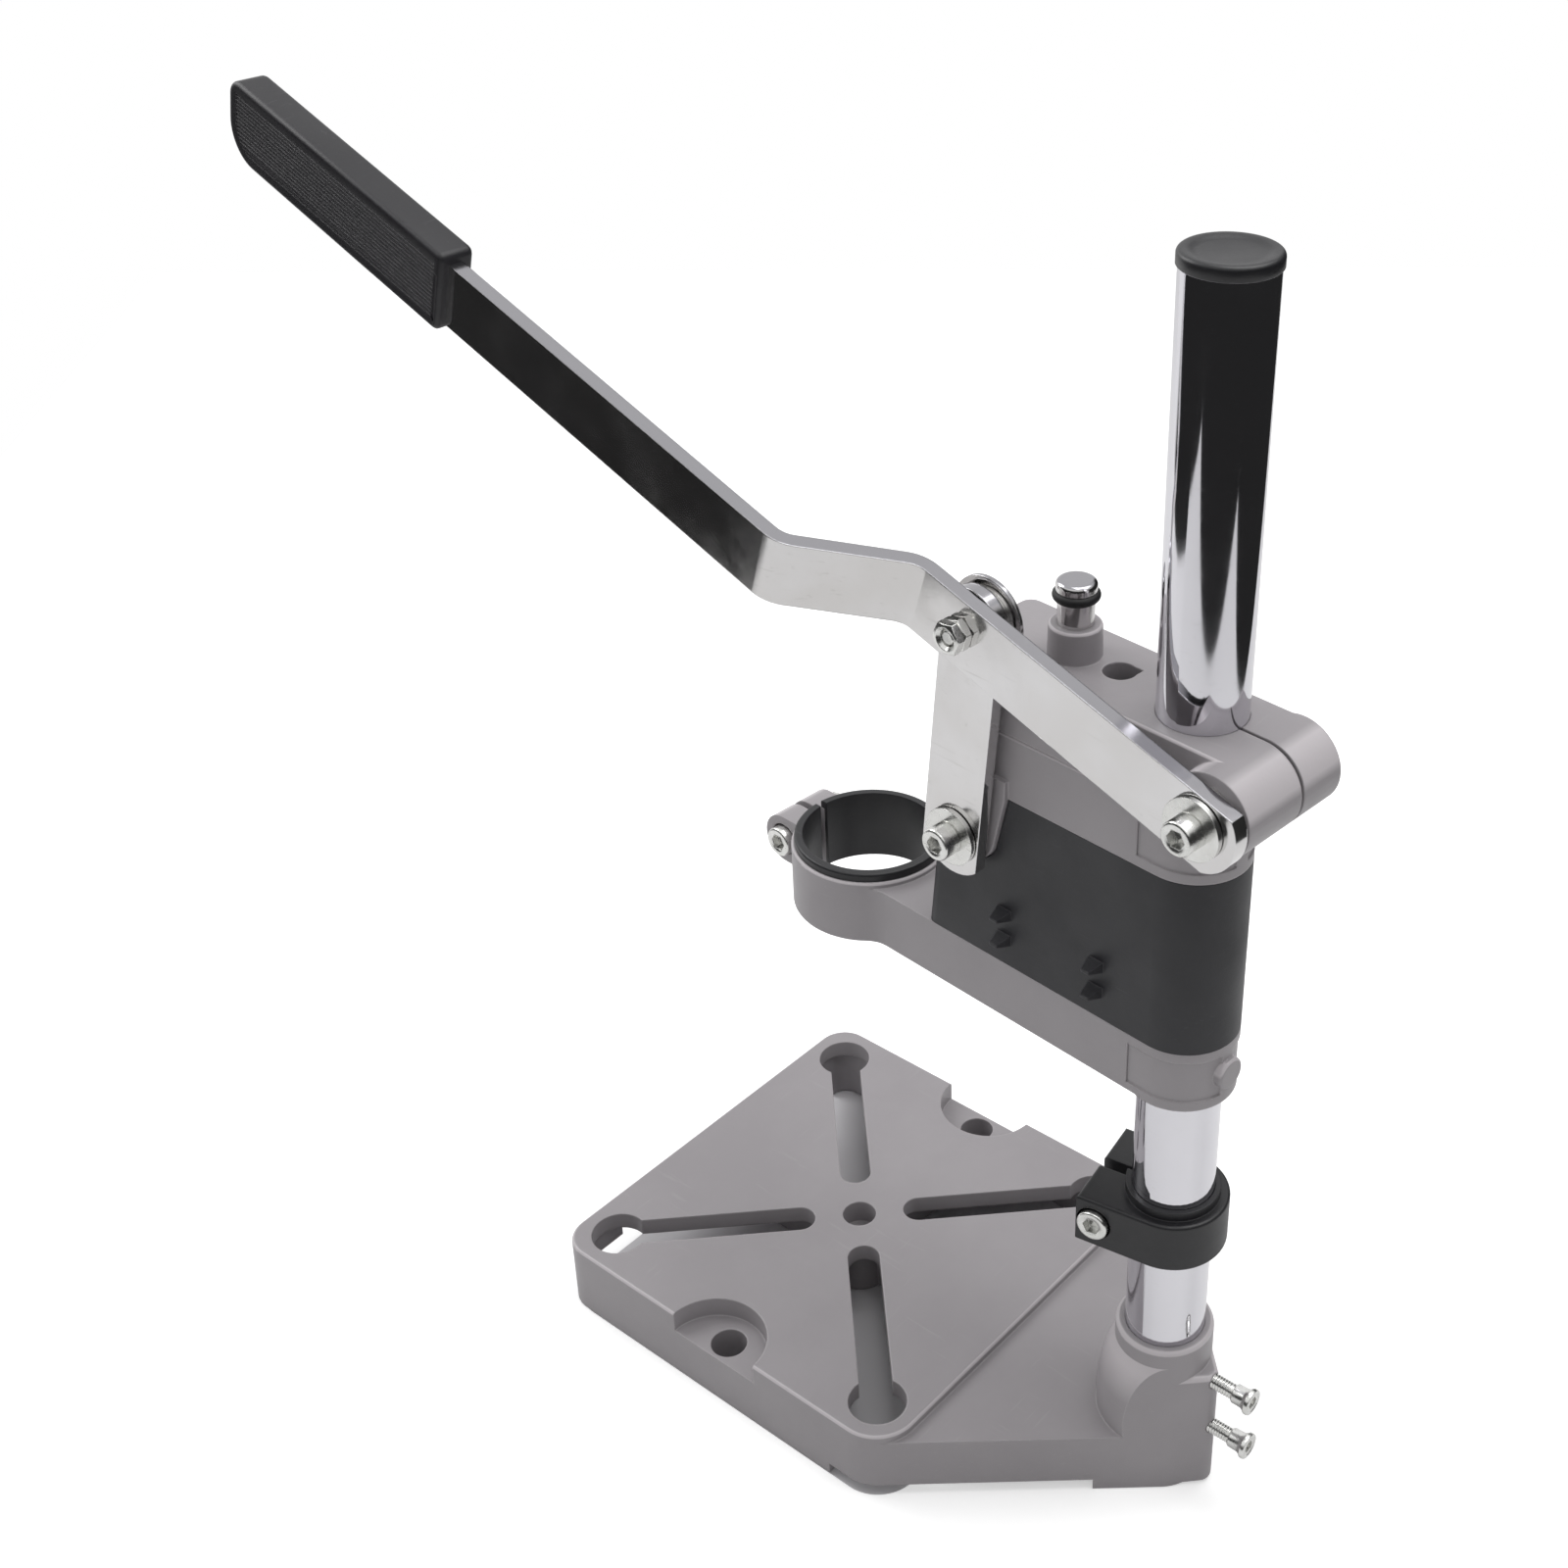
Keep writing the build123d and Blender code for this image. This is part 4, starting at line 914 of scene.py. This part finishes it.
def modelMiddlePivot(shape):
    nutLow, nutHigh = spanOf("mid_nut", headPlace)
    headEnd = spanOf("mid_bolt", headPlace)[0].x
    headFace = spanOf("mid_fender_washer", headPlace)[0].x
    middle = (nutLow + nutHigh) / 2
    length = thinNutShape["length"]
    thinNut = modelNut(thinNutShape)
    for name, face, twist in (
        ("midPivotNut", nutLow.x, shape["nutTwist"]),
        ("midPivotLockNut", nutLow.x + length, shape["lockNutTwist"]),
    ):
        nut = copyPiece(thinNut, name)
        spot = Matrix.Translation((face, middle.y, middle.z))
        settlePiece(nut, headPlace @ spot @ Matrix.Rotation(twist, 4, "X"))
        dressPiece(nut, "zinc_steel", "lever")
        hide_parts("mid_nut")
    bpy.data.objects.remove(thinNut)

    dome = headFace - headEnd
    points = [(headEnd, 0)]
    for step in range(1, shape["domeSteps"] + 1):
        angle = math.radians(90 * step / shape["domeSteps"])
        points.append((
            headFace - shape["headRim"] - (dome - shape["headRim"]) * math.cos(angle),
            shape["headRadius"] * math.sin(angle),
        ))
    points.append((headFace, shape["headRadius"]))
    points.append((headFace, shape["shankRadius"]))
    end = nutLow.x + 2 * length - shape["endSetback"]
    points += threadPoints(
        end - shape["threadLength"],
        end - shape["endPlain"],
        shape["shankRadius"],
        shape["pitch"],
        shape["threadDepth"],
    )
    points.append((end, shape["shankRadius"] - shape["endChamfer"]))
    points.append((end, 0))
    bolt = turnProfile("midPivotBolt", points, shape["turnSteps"])
    settlePiece(bolt, headPlace @ Matrix.Translation((0, middle.y, middle.z)))
    smoothPiece(bolt, shape["smoothAngle"])
    dressPiece(bolt, "zinc_steel", "lever")
    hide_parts("mid_bolt")


modelMiddlePivot(middleBoltShape)
print("middle pivot modelled")


# The two screws behind the socket: a thread, a smooth neck and a flared head

socketScrewShape = {
    "shankRadius": 2.45 * mm,
    "tipChamfer": 0.6 * mm,
    "threadStart": 0.5 * mm,
    "pitch": 0.9 * mm,
    "threadDepth": 0.35 * mm,
    "neckRadius": 3.1 * mm,
    "neckLength": 5.4 * mm,
    "headRadius": 4.25 * mm,
    "headLength": 1.8 * mm,
    "keyFlats": 3.6 * mm,
    "keyDepth": 1.6 * mm,
    "smoothAngle": 35,
}


def modelSocketScrew(shape):
    low, high = spanOf("socket_screws", Matrix.Identity(4))
    start = low.y - high.y
    headStart = -shape["headLength"]
    neckStart = headStart - shape["neckLength"]
    radius = shape["headRadius"]
    points = [(start, 0), (start, shape["shankRadius"] - shape["tipChamfer"])]
    points += threadPoints(
        start + shape["threadStart"],
        neckStart,
        shape["shankRadius"],
        shape["pitch"],
        shape["threadDepth"],
    )
    # Neck, flare of the head, its rounded rim and the rim of the key hole
    points += [
        (neckStart + 0.5 * mm, shape["neckRadius"] - 0.3 * mm),
        (neckStart + 0.9 * mm, shape["neckRadius"]),
        (headStart - 1.2 * mm, shape["neckRadius"] + 0.1 * mm),
        (headStart - 0.5 * mm, shape["neckRadius"] + 0.45 * mm),
        (headStart, radius - 0.35 * mm),
        (headStart + 0.4 * mm, radius),
        (-0.5 * mm, radius),
        (-0.15 * mm, radius - 0.15 * mm),
        (0, radius - 0.5 * mm),
        (0, radius - 1.0 * mm),
        (-0.25 * mm, radius - 1.3 * mm),
        (-0.25 * mm, 0),
    ]
    screw = turnProfile("socketScrewUpper", points)
    cutWith(screw, addHexBar(shape["keyFlats"], -shape["keyDepth"], mm))
    smoothPiece(screw, shape["smoothAngle"])
    twin = copyPiece(screw, "socketScrewLower")
    headHigh = high.z - shape["headRadius"]
    headLow = low.z + shape["headRadius"]
    for piece, height in ((screw, headHigh), (twin, headLow)):
        settlePiece(piece, Matrix.Translation((0, high.y, height)) @ Matrix.Rotation(math.pi / 2, 4, "Z"))
        dressPiece(piece, "zinc_steel", "base")
        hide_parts("socket_screws")


modelSocketScrew(socketScrewShape)
print("socket screws modelled")


# Floor, surroundings and lamps

stageLook = {
    "tableTurn": math.radians(39.6),
    "tableLow": (-1.1, -0.65),
    "tableHigh": (0.54, 0.50),
    "floorDrop": 0.4 * mm,
    "floorColour": (0.82, 0.82, 0.82, 1),
    "floorRoughness": 0.9,
    "floorGloss": 0.1,
    "shadedColour": (0.7, 0.69, 0.71, 1),
    "cameraGlow": 0.45,
    "cornerRadius": 14.5 * mm,
    "softLight": 0.55,
    "darkSide": math.radians(60),
    "darkEdge": -0.69,
    "darkBlur": 0.08,
    "darkTop": 0.6,
    "darkFull": 0.42,
    "darkTone": 0.02,
    "brightTone": 0.92,
}


def makeFloor(look):
    clearSelection()
    wide = look["tableHigh"][0] - look["tableLow"][0]
    deep = look["tableHigh"][1] - look["tableLow"][1]
    bpy.ops.mesh.primitive_plane_add(size=1)
    floor = bpy.context.object
    floor.name = "paleFloor"
    floor.scale = (wide, deep, 1)
    floor.location = (
        look["tableLow"][0] + wide / 2,
        look["tableLow"][1] + deep / 2,
        -look["floorDrop"],
    )
    settlePiece(floor)
    settlePiece(floor, Matrix.Rotation(look["tableTurn"], 4, "Z"))
    material = bpy.data.materials.new("paleFloor")
    material.use_nodes = True
    tree = material.node_tree
    shader = tree.nodes["Principled BSDF"]
    shader.inputs["Roughness"].default_value = look["floorRoughness"]
    shader.inputs["Specular IOR Level"].default_value = look["floorGloss"]
    shader.inputs["Emission Color"].default_value = (1, 1, 1, 1)
    path = addNode(tree, "ShaderNodeLightPath")
    # The camera sees the floor lifted to white, except in the rounded square under the base
    low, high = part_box("base_plate")
    middle = Vector((0, low.y + (high.x - low.x) / 2, 0))
    inner = (high.x - low.x) / 2 - look["cornerRadius"]
    place = addNode(tree, "ShaderNodeTexCoord")
    offset = addNode(tree, "ShaderNodeVectorMath", operation="SUBTRACT")
    offset.inputs[1].default_value = middle
    reach = addNode(tree, "ShaderNodeVectorMath", operation="ABSOLUTE")
    beyond = addNode(tree, "ShaderNodeVectorMath", operation="SUBTRACT")
    beyond.inputs[1].default_value = (inner, inner, 0)
    kept = addNode(tree, "ShaderNodeVectorMath", operation="MAXIMUM")
    flat = addNode(tree, "ShaderNodeVectorMath", operation="MULTIPLY")
    flat.inputs[1].default_value = (1, 1, 0)
    distance = addNode(tree, "ShaderNodeVectorMath", operation="LENGTH")
    outside = addNode(tree, "ShaderNodeMath", operation="GREATER_THAN")
    outside.inputs[1].default_value = look["cornerRadius"]
    glow = addNode(tree, "ShaderNodeMath", operation="MULTIPLY")
    lifted = addNode(tree, "ShaderNodeMath", operation="MULTIPLY")
    lifted.inputs[1].default_value = look["cameraGlow"]
    tree.links.new(place.outputs["Object"], offset.inputs[0])
    tree.links.new(offset.outputs[0], reach.inputs[0])
    tree.links.new(reach.outputs[0], beyond.inputs[0])
    tree.links.new(beyond.outputs[0], kept.inputs[0])
    tree.links.new(kept.outputs[0], flat.inputs[0])
    tree.links.new(flat.outputs[0], distance.inputs[0])
    tree.links.new(distance.outputs["Value"], outside.inputs[0])
    ground = mixColours(tree, outside.outputs[0], look["shadedColour"], look["floorColour"])
    tree.links.new(ground, shader.inputs["Base Color"])
    tree.links.new(path.outputs["Is Camera Ray"], glow.inputs[0])
    tree.links.new(outside.outputs[0], glow.inputs[1])
    tree.links.new(glow.outputs[0], lifted.inputs[0])
    tree.links.new(lifted.outputs[0], shader.inputs["Emission Strength"])
    floor.data.materials.append(material)


def makeSurroundings(look):
    world = bpy.data.worlds.new("studio")
    bpy.context.scene.world = world
    world.use_nodes = True
    tree = world.node_tree
    tree.nodes.clear()
    output = addNode(tree, "ShaderNodeOutputWorld")
    soft = addNode(tree, "ShaderNodeBackground")
    soft.inputs["Color"].default_value = (1, 1, 1, 1)
    soft.inputs["Strength"].default_value = look["softLight"]
    white = addNode(tree, "ShaderNodeBackground")
    white.inputs["Color"].default_value = (1, 1, 1, 1)
    mirrored = addNode(tree, "ShaderNodeBackground")
    # Polished metal sees a dark room on the camera's side and white card elsewhere
    place = addNode(tree, "ShaderNodeTexCoord")
    side = addNode(tree, "ShaderNodeVectorMath", operation="DOT_PRODUCT")
    side.inputs[1].default_value = (math.cos(look["darkSide"]), math.sin(look["darkSide"]), 0)
    tree.links.new(place.outputs["Generated"], side.inputs[0])
    edge = look["darkEdge"]
    facing = rangeNode(tree, side.outputs["Value"], edge - look["darkBlur"], edge, 0, 1)
    height = addNode(tree, "ShaderNodeSeparateXYZ")
    tree.links.new(place.outputs["Generated"], height.inputs[0])
    below = rangeNode(tree, height.outputs["Z"], look["darkTop"], look["darkFull"], 0, 1)
    room = addNode(tree, "ShaderNodeMath", operation="MULTIPLY")
    tree.links.new(facing, room.inputs[0])
    tree.links.new(below, room.inputs[1])
    bright = (look["brightTone"],) * 3 + (1,)
    dark = (look["darkTone"],) * 3 + (1,)
    tree.links.new(mixColours(tree, room.outputs[0], bright, dark), mirrored.inputs["Color"])
    path = addNode(tree, "ShaderNodeLightPath")
    forMirror = addNode(tree, "ShaderNodeMixShader")
    tree.links.new(path.outputs["Is Glossy Ray"], forMirror.inputs[0])
    tree.links.new(soft.outputs[0], forMirror.inputs[1])
    tree.links.new(mirrored.outputs[0], forMirror.inputs[2])
    forCamera = addNode(tree, "ShaderNodeMixShader")
    tree.links.new(path.outputs["Is Camera Ray"], forCamera.inputs[0])
    tree.links.new(forMirror.outputs[0], forCamera.inputs[1])
    tree.links.new(white.outputs[0], forCamera.inputs[2])
    tree.links.new(forCamera.outputs[0], output.inputs["Surface"])


lampAim = (0, -0.08, 0.15)
lampLook = (
    {"name": "overheadSoftbox", "place": (-0.25, 0.15, 1.35), "size": 0.9, "power": 8.0},
    {"name": "sideSoftbox", "place": (0.2, -1.1, 1.0), "size": 0.7, "power": 6.0},
)


def makeLamps(lamps, aim):
    for lamp in lamps:
        clearSelection()
        bpy.ops.object.light_add(type="AREA", location=lamp["place"])
        light = bpy.context.object
        light.name = lamp["name"]
        light.data.size = lamp["size"]
        light.data.energy = lamp["power"]
        light.rotation_mode = "QUATERNION"
        light.rotation_quaternion = (Vector(aim) - Vector(lamp["place"])).to_track_quat("-Z", "Y")


makeFloor(stageLook)
makeSurroundings(stageLook)
makeLamps(lampLook, lampAim)
bpy.context.scene.view_settings.view_transform = "Standard"
print("stage set")


# Camera where the photograph was taken from

cameraLook = {
    "place": (0.42410, 0.26038, 0.58294),
    "yaw": math.radians(-141.894),
    "pitch": math.radians(30.102),
    "roll": math.radians(0.256),
    "lens": 50.77,
    "sensor": 36.0,
    "shift": (-0.1287, -0.0793),
    "clipStart": 0.01,
    "clipEnd": 20,
}


def makeCamera(look):
    yaw, pitch, roll = look["yaw"], look["pitch"], look["roll"]
    forward = Vector((math.cos(pitch) * math.cos(yaw), math.cos(pitch) * math.sin(yaw), -math.sin(pitch)))
    right = Vector((math.sin(yaw), -math.cos(yaw), 0))
    up = right.cross(forward)
    turnedRight = right * math.cos(roll) + up * math.sin(roll)
    turnedUp = up * math.cos(roll) - right * math.sin(roll)
    clearSelection()
    bpy.ops.object.camera_add(location=look["place"])
    camera = bpy.context.object
    camera.name = "photoCamera"
    axes = Matrix((turnedRight, turnedUp, -forward)).transposed()
    camera.rotation_mode = "QUATERNION"
    camera.rotation_quaternion = axes.to_quaternion()
    camera.data.lens = look["lens"]
    camera.data.sensor_width = look["sensor"]
    camera.data.shift_x, camera.data.shift_y = look["shift"]
    camera.data.clip_start = look["clipStart"]
    camera.data.clip_end = look["clipEnd"]
    bpy.context.scene.camera = camera


makeCamera(cameraLook)
print("camera set")
